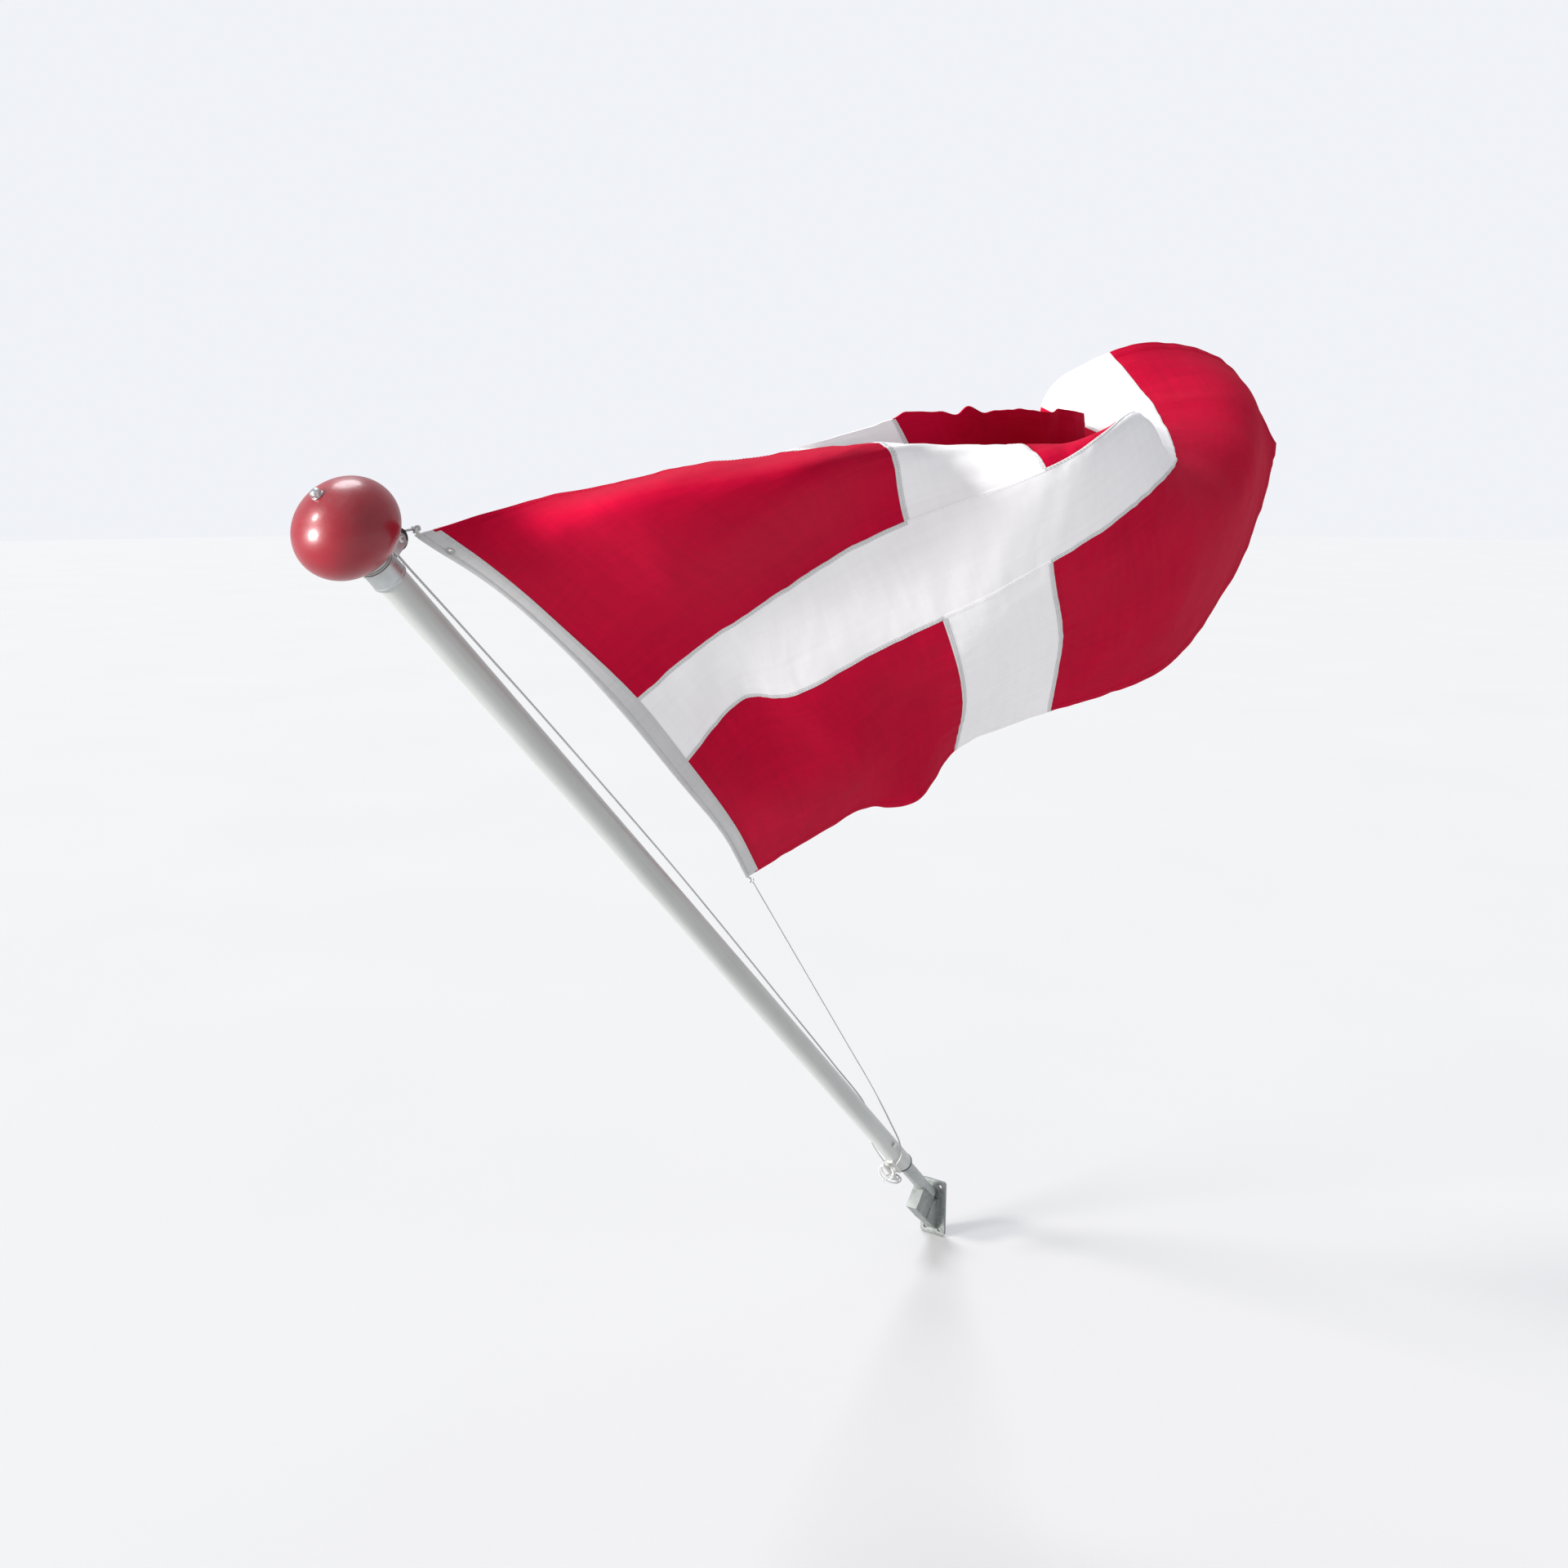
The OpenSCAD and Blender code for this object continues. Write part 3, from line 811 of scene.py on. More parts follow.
@dataclass(frozen=True)
class Gelcoat(Finish):
    """Glass-fibre tube: satin gloss with faint lengthwise drawing marks and small scuffs."""

    def sockets(self, paint: Paint) -> dict:
        """Draws the tube's skin.

        Args:
            paint: The material's builder.

        Returns:
            The shader's inputs by name.
        """
        drawn = paint.noise(paint.along_pole((60.0, 60.0, 1.2)), 1.0, 5.0, 0.6)
        mask = paint.mixed(paint.stretch(drawn, 0.34, 0.66), 0.5, paint.mottle(5.0, 1.5)["Tone"], 0.5)
        skin = paint.blend(mask, self.shade, self.colour)
        cells = {"Vector": paint.along_pole((90.0, 90.0, 14.0)), "Scale": 1.0}
        scuffs = paint.add("ShaderNodeTexVoronoi", cells).outputs["Distance"]
        return {
            "Base Color": paint.dusted(skin, 0.35, (0.42, 0.41, 0.38)),
            "Roughness": paint.math("MULTIPLY_ADD", scuffs, 0.12, self.roughness - 0.04),
            "Coat Weight": 0.25,
            "Coat Roughness": 0.18,
            "Normal": paint.bump(drawn, 0.0004, 0.35),
        }


@dataclass(frozen=True)
class Lacquer(Finish):
    """Glossy coat with a little orange peel, hairlines and dust on top."""

    peel: float = 160.0

    def sockets(self, paint: Paint) -> dict:
        """Sprays the lacquer.

        Args:
            paint: The material's builder.

        Returns:
            The shader's inputs by name.
        """
        coat = paint.blend(paint.mottle(9.0, 1.8)["Tone"], self.shade, self.colour)
        lines = paint.noise(paint.along_pole((18.0, 260.0, 40.0)), 1.0, 6.0, 0.7)
        return {
            "Base Color": paint.dusted(coat, 0.12, (0.45, 0.40, 0.37)),
            "Roughness": self.rough(paint, lines, 0.08, 0.12),
            "Coat Weight": 0.25,
            "Coat Roughness": 0.12,
            "Normal": paint.bump(paint.noise(paint.where(), self.peel, 2.0), 0.0006, 0.25),
        }


@dataclass(frozen=True)
class Galvanised(Finish):
    """Zinc-coated steel with large dull spangles and pale bloom."""

    spangle: float = 95.0

    def sockets(self, paint: Paint) -> dict:
        """Dips the steel in zinc.

        Args:
            paint: The material's builder.

        Returns:
            The shader's inputs by name.
        """
        cells = paint.add("ShaderNodeTexVoronoi", {"Vector": paint.where(), "Scale": self.spangle})
        grey = paint.out("ShaderNodeRGBToBW", {0: cells.outputs["Color"]})
        tone = paint.mottle(14.0, 2.0)
        mask = paint.mixed(grey, 0.45, tone["Tone"], 0.55)
        zinc = paint.blend(mask, self.shade, self.colour)
        return {
            "Base Color": paint.dusted(zinc, 0.4, (0.40, 0.40, 0.38)),
            "Roughness": self.rough(paint, mask, 0.12, 0.14),
            "Normal": paint.bump(paint.mixed(tone["Grain"], 0.7, grey, 0.3), 0.0008, 0.4),
        }


@dataclass(frozen=True)
class TurnedMetal(Finish):
    """Bright or satin metal with fine lines round the part."""

    lines: tuple[float, float, float] = (30.0, 30.0, 900.0)

    def sockets(self, paint: Paint) -> dict:
        """Turns the metal's skin.

        Args:
            paint: The material's builder.

        Returns:
            The shader's inputs by name.
        """
        drawn = paint.noise(paint.along_pole(self.lines), 1.0, 4.0, 0.6)
        return {
            "Base Color": paint.blend(paint.mottle(40.0, 1.5)["Tone"], self.shade, self.colour),
            "Roughness": self.rough(paint, drawn, 0.1, 0.15),
            "Normal": paint.bump(drawn, 0.0001, 0.3),
        }


@dataclass(frozen=True)
class Moulded(Finish):
    """Moulded plastic or nylon with a fine grain and handling marks."""

    grain: float = 700.0

    def sockets(self, paint: Paint) -> dict:
        """Moulds the skin.

        Args:
            paint: The material's builder.

        Returns:
            The shader's inputs by name.
        """
        tone = paint.mottle(30.0, 1.6)
        skin = paint.blend(tone["Tone"], self.shade, self.colour)
        return {
            "Base Color": paint.dusted(skin, 0.25, (0.40, 0.38, 0.35)),
            "Roughness": self.rough(paint, tone["Grain"], 0.1, 0.1),
            "Normal": paint.bump(paint.noise(paint.where(), self.grain, 2.0), 0.0002, 0.3),
        }


@dataclass(frozen=True)
class Cordage(Finish):
    """Rope yarn with fine fibre streaks and a mottled tone."""

    def sockets(self, paint: Paint) -> dict:
        """Spins the yarn.

        Args:
            paint: The material's builder.

        Returns:
            The shader's inputs by name.
        """
        fibre = paint.noise(paint.along_pole((900.0, 900.0, 260.0)), 1.0, 4.0, 0.7)
        tone = paint.mottle(12.0, 1.8)
        mask = paint.mixed(fibre, 0.6, tone["Tone"], 0.4)
        return {
            "Base Color": paint.blend(mask, self.shade, self.colour),
            "Roughness": self.rough(paint, tone["Grain"], 0.05, 0.1),
            "Sheen Weight": 0.2,
            "Normal": paint.bump(fibre, 0.0003, 0.5),
        }


FINISHES: dict[str, Finish] = {
    "red_cloth": Bunting("red_bunting", (0.53, 0.001, 0.032), (0.37, 0.001, 0.023), 0.8, sheen=0.0),
    "white_cloth": Bunting("white_bunting", (0.91, 0.90, 0.905), (0.83, 0.82, 0.83), 0.8, sheen=0.05),
    # The header canvas also colours most seam strips, where its grey is painted shade along the seams.
    "header": Bunting(
        "header_canvas", (0.62, 0.62, 0.62), (0.50, 0.50, 0.50), 0.85, pitch=0.0018, depth=0.0008, sheen=0.0
    ),
    "pole": Gelcoat("pole_gelcoat", (0.56, 0.58, 0.56), (0.39, 0.41, 0.39), 0.36),
    "ball": Lacquer("ball_lacquer", (0.32, 0.002, 0.016), (0.16, 0.001, 0.008), 0.34),
    "bracket": Galvanised("galvanised_casting", (0.39, 0.41, 0.40), (0.15, 0.17, 0.16), 0.55, 0.55),
    "spigot": Galvanised("galvanised_tube", (0.53, 0.56, 0.55), (0.27, 0.29, 0.28), 0.42, 0.7, spangle=140.0),
    "bush": Moulded("foot_bush_rubber", (0.10, 0.11, 0.12), (0.06, 0.07, 0.08), 0.6),
    "truck": TurnedMetal("cast_aluminium", (0.58, 0.60, 0.60), (0.42, 0.44, 0.44), 0.42, 1.0),
    "sheave": Moulded("black_nylon", (0.025, 0.028, 0.030), (0.012, 0.013, 0.015), 0.42),
    "bright_steel": TurnedMetal("stainless_steel", (0.64, 0.64, 0.63), (0.48, 0.48, 0.48), 0.28, 1.0),
    "cleat": Moulded("cleat_plastic", (0.70, 0.70, 0.67), (0.55, 0.55, 0.52), 0.45),
    "halyard": Cordage("rope_yarn", (0.68, 0.69, 0.69), (0.42, 0.43, 0.42), 0.8),
    "eyelet": TurnedMetal("nickel_plate", (0.52, 0.51, 0.48), (0.34, 0.33, 0.31), 0.34, 1.0),
}
MATERIALS: dict[str, bpy.types.Material] = {slot: finish.build() for slot, finish in FINISHES.items()}


def dress(obj: bpy.types.Object, slot: str, *nodes: str, body: str = BODY) -> bpy.types.Object:
    """Gives a piece its finish, slot and body, and puts it in place of CAD nodes.

    Args:
        obj: The piece.
        slot: The record's material slot.
        nodes: The CAD nodes that it stands for.
        body: The body that the piece rides on.

    Returns:
        The same piece.
    """
    obj.data.materials.clear()
    obj.data.materials.append(MATERIALS[slot])
    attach(obj, body)
    if nodes:
        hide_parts(*nodes)
    log.info("%s: %d faces, %s", obj.name, len(obj.data.polygons), slot)
    return obj


# ---------------------------------------------------------------- flag


def hermite_weights(at: np.ndarray, knots: np.ndarray) -> np.ndarray:
    """Gives each guide point's share in a smooth curve.

    Args:
        at: Places to evaluate.
        knots: Places of the guide points.

    Returns:
        One row of shares for each place.
    """
    count = len(knots)
    gap = np.diff(knots)
    eye = np.eye(count)
    chord = (eye[1:] - eye[:-1]) / gap[:, None]
    slope = np.vstack([chord[:1], np.zeros((count - 2, count)), chord[-1:]])
    for i in range(1, count - 1):
        slope[i] = (chord[i] * gap[i - 1] + chord[i - 1] * gap[i]) / (gap[i - 1] + gap[i])
    at = np.asarray(at, float)
    span = np.clip(np.searchsorted(knots, at, side="right") - 1, 0, count - 2)
    h = gap[span][:, None]
    k = ((at - knots[span]) / gap[span])[:, None]
    return (
        (2 * k**3 - 3 * k**2 + 1) * eye[span]
        + (k**3 - 2 * k**2 + k) * h * slope[span]
        + (3 * k**2 - 2 * k**3) * eye[span + 1]
        + (k**3 - k**2) * h * slope[span + 1]
    )


def value_noise(x: np.ndarray, y: np.ndarray, seed: int) -> np.ndarray:
    """Smooth noise from -1 to 1 with one cell for each unit.

    Args:
        x: First coordinates.
        y: Second coordinates.
        seed: Chooses the pattern.

    Returns:
        One value for each place.
    """
    table = np.random.default_rng(seed).uniform(-1, 1, (64, 64))
    xi, yi = np.floor(x).astype(int), np.floor(y).astype(int)
    fx, fy = x - xi, y - yi
    fx, fy = fx * fx * (3 - 2 * fx), fy * fy * (3 - 2 * fy)
    a = table[xi % 64, yi % 64] * (1 - fx) + table[(xi + 1) % 64, yi % 64] * fx
    b = table[xi % 64, (yi + 1) % 64] * (1 - fx) + table[(xi + 1) % 64, (yi + 1) % 64] * fx
    return a * (1 - fy) + b * fy


def near(distance: np.ndarray, reach: float) -> np.ndarray:
    """Falls smoothly from 1 at no distance to almost 0 past the reach."""
    return np.exp(-((np.asarray(distance, float) / reach) ** 2))


@dataclass(frozen=True)
class Fold:
    """One layer of random folds.

    Its noise runs at two rates, each as change for a part along the fly and for a part down the hoist. Where it has a
    middle and a reach, also in parts, it fades out past them.
    """

    height: float
    seed: int
    rates: tuple[tuple[float, float], tuple[float, float]]
    middle: tuple[float, float] = (0.0, 0.0)
    reach: tuple[float, float] = (math.inf, math.inf)

    def on(self, a: np.ndarray, b: np.ndarray) -> np.ndarray:
        """Gives the layer's height.

        Args:
            a: Parts along the fly.
            b: Parts down the hoist.

        Returns:
            Millimetres at each place.
        """
        x, y = (along * a + down * b for along, down in self.rates)
        share = near(a - self.middle[0], self.reach[0]) * near(b - self.middle[1], self.reach[1])
        return share * self.height * value_noise(x, y, self.seed)


OPEN_FOLDS = (
    Fold(2.6, 11, ((0.55, 0.16), (-0.05, 0.22))),
    Fold(1.1, 12, ((1.3, 0.5), (0, 0.55))),
    Fold(0.28, 13, ((4.2, 0), (1, 4.2))),
    Fold(2.0, 18, ((1.5, 0.5), (0, 0.25)), (0, 14), (math.inf, 1.9)),
    Fold(2.0, 25, ((0.25, 0), (0.4, 1.4)), (14, 0), (1.9, math.inf)),
    Fold(5.0, 23, ((1.1, 0.12), (0, 0.12)), (33, 18), (4.0, 6.0)),
    Fold(9.0, 24, ((0.8, 0.6), (0, 0.35)), (21, 0), (5.5, 3.4)),
)
LEVEL_PUCKERS = (Fold(0.9, 14, ((2.4, 0.3), (0, 0.35))), Fold(0.5, 15, ((4.6, 0), (0, 0.5))))
UPRIGHT_PUCKERS = (Fold(0.9, 16, ((0.35, 0), (0, 2.4))), Fold(0.5, 17, ((0.5, 0), (0, 4.6))))


def folded(layers: Sequence[Fold], a: np.ndarray, b: np.ndarray) -> np.ndarray:
    """Adds the heights of several layers of folds."""
    return sum(layer.on(a, b) for layer in layers)


def numbers(values: list) -> np.ndarray:
    """Gives a class a field with an array of numbers."""
    return field(default_factory=lambda: np.array(values, float))


@dataclass
class Flag:
    """Sewn flag in parts of its cut: 37 along the fly, 28 down the hoist, cross arms 12 to 16."""

    hoist: float = 1320.0
    fly_parts: float = 37.0
    hoist_parts: float = 28.0
    arm_low: float = 12.0
    arm_high: float = 16.0
    skin: float = 0.55
    hem_skin: float = 0.5
    hem_parts: float = 0.42
    cells: int = 8
    seam_width: float = 9.0
    stitch_pitch: float = 5.8
    stitch_len: float = 4.0
    thread: float = 0.9
    header_flat: float = 42.0
    header_rows: tuple[float, ...] = (-0.36, 0.06, 0.14)
    bolt_rope_at: float = -0.5
    bolt_rope_reach: float = 0.115
    bolt_rope_swell: float = 2.25
    tape_skin: float = 1.15
    tape_lap: float = 0.35
    tape_end: float = 0.25
    tape_end_share: float = 0.55
    pucker_reach: float = 0.9
    band_edge: float = 0.3
    band_calm: float = 0.25
    curl: float = 1.2
    curl_reach: float = 0.8
    sleeve_in: float = -0.62
    sleeve_out: float = 0.2
    eyelet_at: tuple[float, float] = (-0.31, 1.4)
    origin_z: float = POLE.sheave_z - 25.0
    eyelet_hole: float = 0.085
    stations: np.ndarray = numbers([0, 3, 6, 9, 12, 16, 22, 28, 34, 37])
    levels: np.ndarray = numbers([0, 4, 8, 12, 16, 22, 28])
    drape: np.ndarray = numbers(
        [
            [[30, 88, 5], [140, 160, -15], [220, 250, -70], [290, 350, -130], [360, 450, -200],
             [450, 610, -280], [550, 810, -450], [570, 960, -610], [390, 1070, -740], [270, 1110, -800]],
            [[65, 105, -120], [210, 130, -50], [350, 170, -10], [440, 300, -80], [450, 500, -240],
             [470, 630, -510], [530, 800, -650], [560, 900, -830], [420, 980, -920], [310, 1030, -980]],
            [[80, 125, -285], [220, 160, -200], [370, 200, -140], [520, 300, -110], [550, 450, -200],
             [620, 610, -350], [670, 760, -610], [650, 870, -810], [480, 1000, -940], [370, 1060, -990]],
            [[90, 140, -460], [210, 230, -410], [320, 310, -380], [430, 380, -350], [520, 450, -350],
             [720, 540, -330], [780, 730, -400], [710, 840, -570], [500, 1070, -740], [380, 1150, -760]],
            [[80, 150, -650], [190, 250, -580], [280, 280, -590], [410, 370, -570], [520, 430, -550],
             [680, 530, -520], [800, 720, -530], [720, 950, -680], [580, 1170, -750], [490, 1260, -730]],
            [[20, 190, -920], [160, 250, -860], [290, 320, -830], [350, 410, -820], [440, 480, -830],
             [600, 590, -790], [780, 740, -770], [800, 1050, -850], [710, 1330, -890], [630, 1430, -900]],
            [[-70, 230, -1180], [60, 290, -1120], [170, 350, -1080], [280, 400, -1090], [330, 510, -1060],
             [500, 610, -1040], [680, 760, -1070], [740, 1030, -1090], [720, 1340, -1140], [700, 1450, -1160]],
        ]
    )

    @property
    def part(self) -> float:
        """Length of one part of the cut, in millimetres."""
        return self.hoist / self.hoist_parts

    @property
    def cuts(self) -> Box:
        """Both sides of the cross's arms, the fly's end and the hoist's foot."""
        return self.arm_low, self.arm_high, self.fly_parts, self.hoist_parts

    def middle(self, a: np.ndarray, b: np.ndarray) -> np.ndarray:
        """Middle of the cloth in the pole frame.

        Args:
            a: Parts along the fly, negative on the header.
            b: Parts down the hoist.

        Returns:
            Points in millimetres.
        """
        a, b = (np.asarray(v, float) for v in np.broadcast_arrays(a, b))
        shape = a.shape
        a, b = a.ravel(), b.ravel()

        def on_net(along: np.ndarray) -> np.ndarray:
            """Finds points on the guide net.

            Args:
                along: Parts along the fly, for the levels in b.

            Returns:
                Points in millimetres from the net's origin.
            """
            return np.einsum(
                "ni,nj,jik->nk", hermite_weights(along, self.stations), hermite_weights(b, self.levels), self.drape
            )

        inside = on_net(np.clip(a, 0, self.fly_parts))
        start, ahead = on_net(np.zeros_like(a)), on_net(np.full_like(a, 0.5))
        way = (ahead - start) / np.linalg.norm(ahead - start, axis=1, keepdims=True)
        points = np.where((a < 0)[:, None], start + a[:, None] * self.part * way, inside)
        return (points + np.array([0, 0, self.origin_z])).reshape(*shape, 3)

    def normal(self, a: np.ndarray, b: np.ndarray) -> np.ndarray:
        """Unit normal of the smooth cloth.

        Args:
            a: Parts along the fly.
            b: Parts down the hoist.

        Returns:
            One unit vector for each place.
        """
        step = 0.15
        along = self.middle(np.minimum(a + step, self.fly_parts), b) - self.middle(a - step, b)
        down = self.middle(a, np.minimum(b + step, self.hoist_parts)) - self.middle(a, np.maximum(b - step, 0))
        n = np.cross(along, down)
        return n / np.linalg.norm(n, axis=-1, keepdims=True)

    def wrinkle(self, a: np.ndarray, b: np.ndarray) -> np.ndarray:
        """Height of the wrinkles, in millimetres: seam puckers, hem curls and soft folds.

        Args:
            a: Parts along the fly.
            b: Parts down the hoist.

        Returns:
            One height for each place.
        """
        height = folded(OPEN_FOLDS, a, b)
        band = (b > self.arm_low - self.band_edge) & (b < self.arm_high + self.band_edge)
        for seam in (self.arm_low, self.arm_high):
            height = height + near(b - seam, self.pucker_reach) * folded(LEVEL_PUCKERS, a, b)
            upright = near(a - seam, self.pucker_reach) * folded(UPRIGHT_PUCKERS, a, b)
            height = height + np.where(band, self.band_calm * upright, upright)
        hems = ((b, a, 19), (self.hoist_parts - b, a, 20), (self.fly_parts - a, b, 21), (a + 0.4, b, 22))
        for edge, run, seed in hems:
            height = height + near(edge, self.curl_reach) * self.curl * value_noise(run * 1.9, edge * 0.4, seed)
        # The cloth lies almost flat beside the header
        calm = np.clip((a + 0.2) / 1.5, 0.15, 1.0)
        return calm * height

    def gathered(self, a: np.ndarray, b: np.ndarray) -> np.ndarray:
        """Levels after the hems' scallops, which pull the edges in where the cloth is crushed.

        Args:
            a: Parts along the fly.
            b: Parts down the hoist before the cloth is crushed.

        Returns:
            Parts down the hoist after it.
        """
        head = 0.5 + 0.5 * value_noise(a * 0.62, 0 * a, 31) + 0.25 * value_noise(a * 1.5, 0 * a, 32)
        foot = 0.5 + 0.5 * value_noise(a * 0.5, 0 * a, 33)
        pull_head = 0.62 * near(b, 2.4) * near(a - 19.0, 5.5) * head
        pull_foot = 0.5 * near(self.hoist_parts - b, 2.6) * near(a - 6.0, 6.0) * foot
        return b + pull_head - pull_foot

    def skin_at(self, a: np.ndarray, b: np.ndarray) -> np.ndarray:
        """Half the cloth's thickness, which doubles in the hems."""
        edge = np.minimum.reduce([b, self.hoist_parts - b, self.fly_parts - a])
        return self.skin + self.hem_skin * np.clip((self.hem_parts - edge) / 0.06 + 0.5, 0, 1)

    def points(self, a: np.ndarray, b: np.ndarray, offset: np.ndarray | float = 0.0) -> np.ndarray:
        """Row-frame points on the wrinkled cloth, moved off its middle.

        Args:
            a: Parts along the fly.
            b: Parts down the hoist.
            offset: Millimetres along the normal.

        Returns:
            Points in metres.
        """
        lift = np.asarray(self.wrinkle(a, b) + offset)[..., None]
        level = self.gathered(a, b)
        return POLE.to_row(self.middle(a, level) + self.normal(a, level) * lift)

    def lines(self, low: float, high: float, extra: Sequence[float] = ()) -> np.ndarray:
        """Grid lines from low to high, with extra ones close to hems.

        Args:
            low: First line.
            high: Last line.
            extra: Places of the extra lines.

        Returns:
            The lines in order.
        """
        base = np.linspace(low, high, max(1, round((high - low) * self.cells)) + 1)
        kept = [v for v in extra if low < v < high]
        return np.unique(np.round(np.r_[base, kept], 5))

    def shell(
        self,
        name: str,
        a: np.ndarray,
        b: np.ndarray,
        half: Callable[[np.ndarray, np.ndarray], np.ndarray],
        hole: Box | None = None,
    ) -> bpy.types.Object:
        """Makes a closed sheet over a grid of the cloth, with a UV map in metres.

        Args:
            name: The piece's name.
            a: Grid lines along the fly.
            b: Grid lines down the hoist.
            half: Gives half the thickness in millimetres at each place.
            hole: Lowest and highest a and b of an opening.

        Returns:
            The closed sheet.
        """
        ga, gb = np.meshgrid(a, b, indexing="ij")
        thick = half(ga, gb)
        index = np.arange(ga.size).reshape(ga.shape)
        solid = np.ones((len(a) - 1, len(b) - 1), bool)
        if hole:
            mid_a, mid_b = (a[:-1] + a[1:]) / 2, (b[:-1] + b[1:]) / 2
            inside = (mid_a > hole[0]) & (mid_a < hole[1]), (mid_b > hole[2]) & (mid_b < hole[3])
            solid[np.ix_(*inside)] = False
        i, j = np.nonzero(solid)
        quads = np.stack([index[i, j], index[i + 1, j], index[i + 1, j + 1], index[i, j + 1]], axis=1)
        edges = np.vstack([quads[:, [k, (k + 1) % 4]] for k in range(4)]).tolist()
        seen = {tuple(e) for e in edges}
        rim = np.array([e for e in edges if (e[1], e[0]) not in seen])
        walls = np.stack([rim[:, 1], rim[:, 0], rim[:, 0] + ga.size, rim[:, 1] + ga.size], axis=1)
        used, packed = np.unique(np.vstack([quads, quads[:, ::-1] + ga.size, walls]), return_inverse=True)
        sides = np.vstack([self.points(ga, gb, side * thick).reshape(-1, 3) for side in (1, -1)])
        obj = new_object(name, sides[used], packed.reshape(-1, 4))
        flat = np.stack([ga.ravel(), gb.ravel()], axis=1) * self.part * MM
        corner = np.empty(len(obj.data.loops), np.int32)
        obj.data.loops.foreach_get("vertex_index", corner)
        layer = obj.data.uv_layers.new(name="cut")
        layer.data.foreach_set("uv", np.vstack([flat, flat])[used][corner].ravel().astype(np.float32))
        return sharpen(outward(obj, merge=False), Crease.CLOTH)

    def panel(self, name: str, box: Box, slot: str, *nodes: str) -> bpy.types.Object:
        """Makes one sewn panel over a box of stations and levels, in place of its CAD nodes.

        Args:
            name: The piece's name.
            box: First and last station, first and last level.
            slot: The finish.
            nodes: The CAD nodes that it stands for.

        Returns:
            The panel.
        """
        near_hem = np.array([self.hem_parts - 0.05, self.hem_parts + 0.05])
        a = self.lines(box[0], box[1], self.fly_parts - near_hem)
        b = self.lines(box[2], box[3], [*near_hem, *(self.hoist_parts - near_hem)])
        return dress(self.shell(name, a, b, self.skin_at), slot, *nodes)

    def seam_strip(self, name: str, box: Box, slot: str = "header") -> bpy.types.Object:
        """Makes the folded strip that laps two panels on a seam, proud of both sides.

        Args:
            name: The piece's name.
            box: First and last station, first and last level of the seam's line.
            slot: The finish; the grey header canvas, the default, is painted shade that lines the seam, where the
                real fold is white cloth.

        Returns:
            The strip.
        """
        across = np.linspace(-1, 1, 7)
        rise = self.skin + 0.35 + 0.6 * np.sqrt(1 - across**2)
        half = self.seam_width / 2 / self.part
        if box[1] - box[0] > box[3] - box[2]:
            a, b, heights = self.lines(box[0], box[1]), box[2] + half * across, rise[None, :]
        else:
            a, b, heights = box[0] + half * across, self.lines(box[2], box[3]), rise[:, None]
        return dress(self.shell(name, a, b, lambda ga, gb: heights + 0 * ga), slot)

    def sewn(self, name: str, rows: Sequence[Box], lift: float, slot: str) -> bpy.types.Object:
        """Sews rows of stitches on both sides of the cloth.

        Args:
            name: The piece's name.
            rows: First and last station, first and last level of each row.
            lift: Height above the cloth's middle, in millimetres.
            slot: The finish.

        Returns:
            All the stitches as one mesh.
        """
        routes = []
        for a0, a1, b0, b1 in rows:
            count = max(8, int((abs(a1 - a0) + abs(b1 - b0)) * 6))
            a, b = np.linspace(a0, a1, count), np.linspace(b0, b1, count)
            routes += [self.points(a, b, side * lift) for side in (-1, 1)]
        values = {"Pitch": self.stitch_pitch * MM, "Length": self.stitch_len * MM, "Thread": self.thread * MM,
                  "Seed": 3, "Finish": MATERIALS[slot]}
        return dress(grown(name, poly_curve(name + "_rows", routes), STITCHES, values), slot)

    def tape(self) -> bpy.types.Object:
        """Folds the header tape round its bolt rope, with a hole for the eyelet.

        Returns:
            The header.
        """
        (ea, eb), cut = self.eyelet_at, self.eyelet_hole
        folds = np.linspace(self.sleeve_in, self.sleeve_out, 21)
        a = np.unique(np.round(np.r_[folds, ea - cut, ea + cut], 5))
        b = self.lines(0, self.hoist_parts, (eb - cut, eb + cut))

        def half(ga: np.ndarray, gb: np.ndarray) -> np.ndarray:
            """Gives half the tape's thickness, fuller round the bolt rope.

            Args:
                ga: Parts along the fly.
                gb: Parts down the hoist.

            Returns:
                Millimetres at each place.
            """
            off = (ga - self.bolt_rope_at) / self.bolt_rope_reach
            rope = self.bolt_rope_swell * np.sqrt(np.clip(1 - off**2, 0, 1))
            end = np.clip(np.minimum(gb, self.hoist_parts - gb) / self.tape_end, self.tape_end_share, 1)
            return (self.tape_skin + rope) * end + self.tape_lap * (ga > self.header_rows[0])

        shell = self.shell("header_tape", a, b, half, (ea - cut, ea + cut, eb - cut, eb + cut))
        return dress(shell, "header", "header_sleeve")

    def eyelet(self) -> bpy.types.Object:
        """Presses the eyelet through the tape.

        Returns:
            The eyelet.
        """
        a, b = (np.array([v]) for v in self.eyelet_at)
        axis = self.normal(a, b)[0]
        middle = self.middle(a, b)[0] + axis * float(self.wrinkle(a, b)[0])
        side = [(3.9, 2.0), (4.6, 3.3), (7.4, 2.4), (7.4, 1.3), (4.2, 1.0)]
        ring = rounded([(r, -z) for r, z in side] + side[::-1], 0.7)
        return dress(lathe("eyelet", ring, POLE.matrix(middle, axis), 48), "eyelet", "header_eyelet")

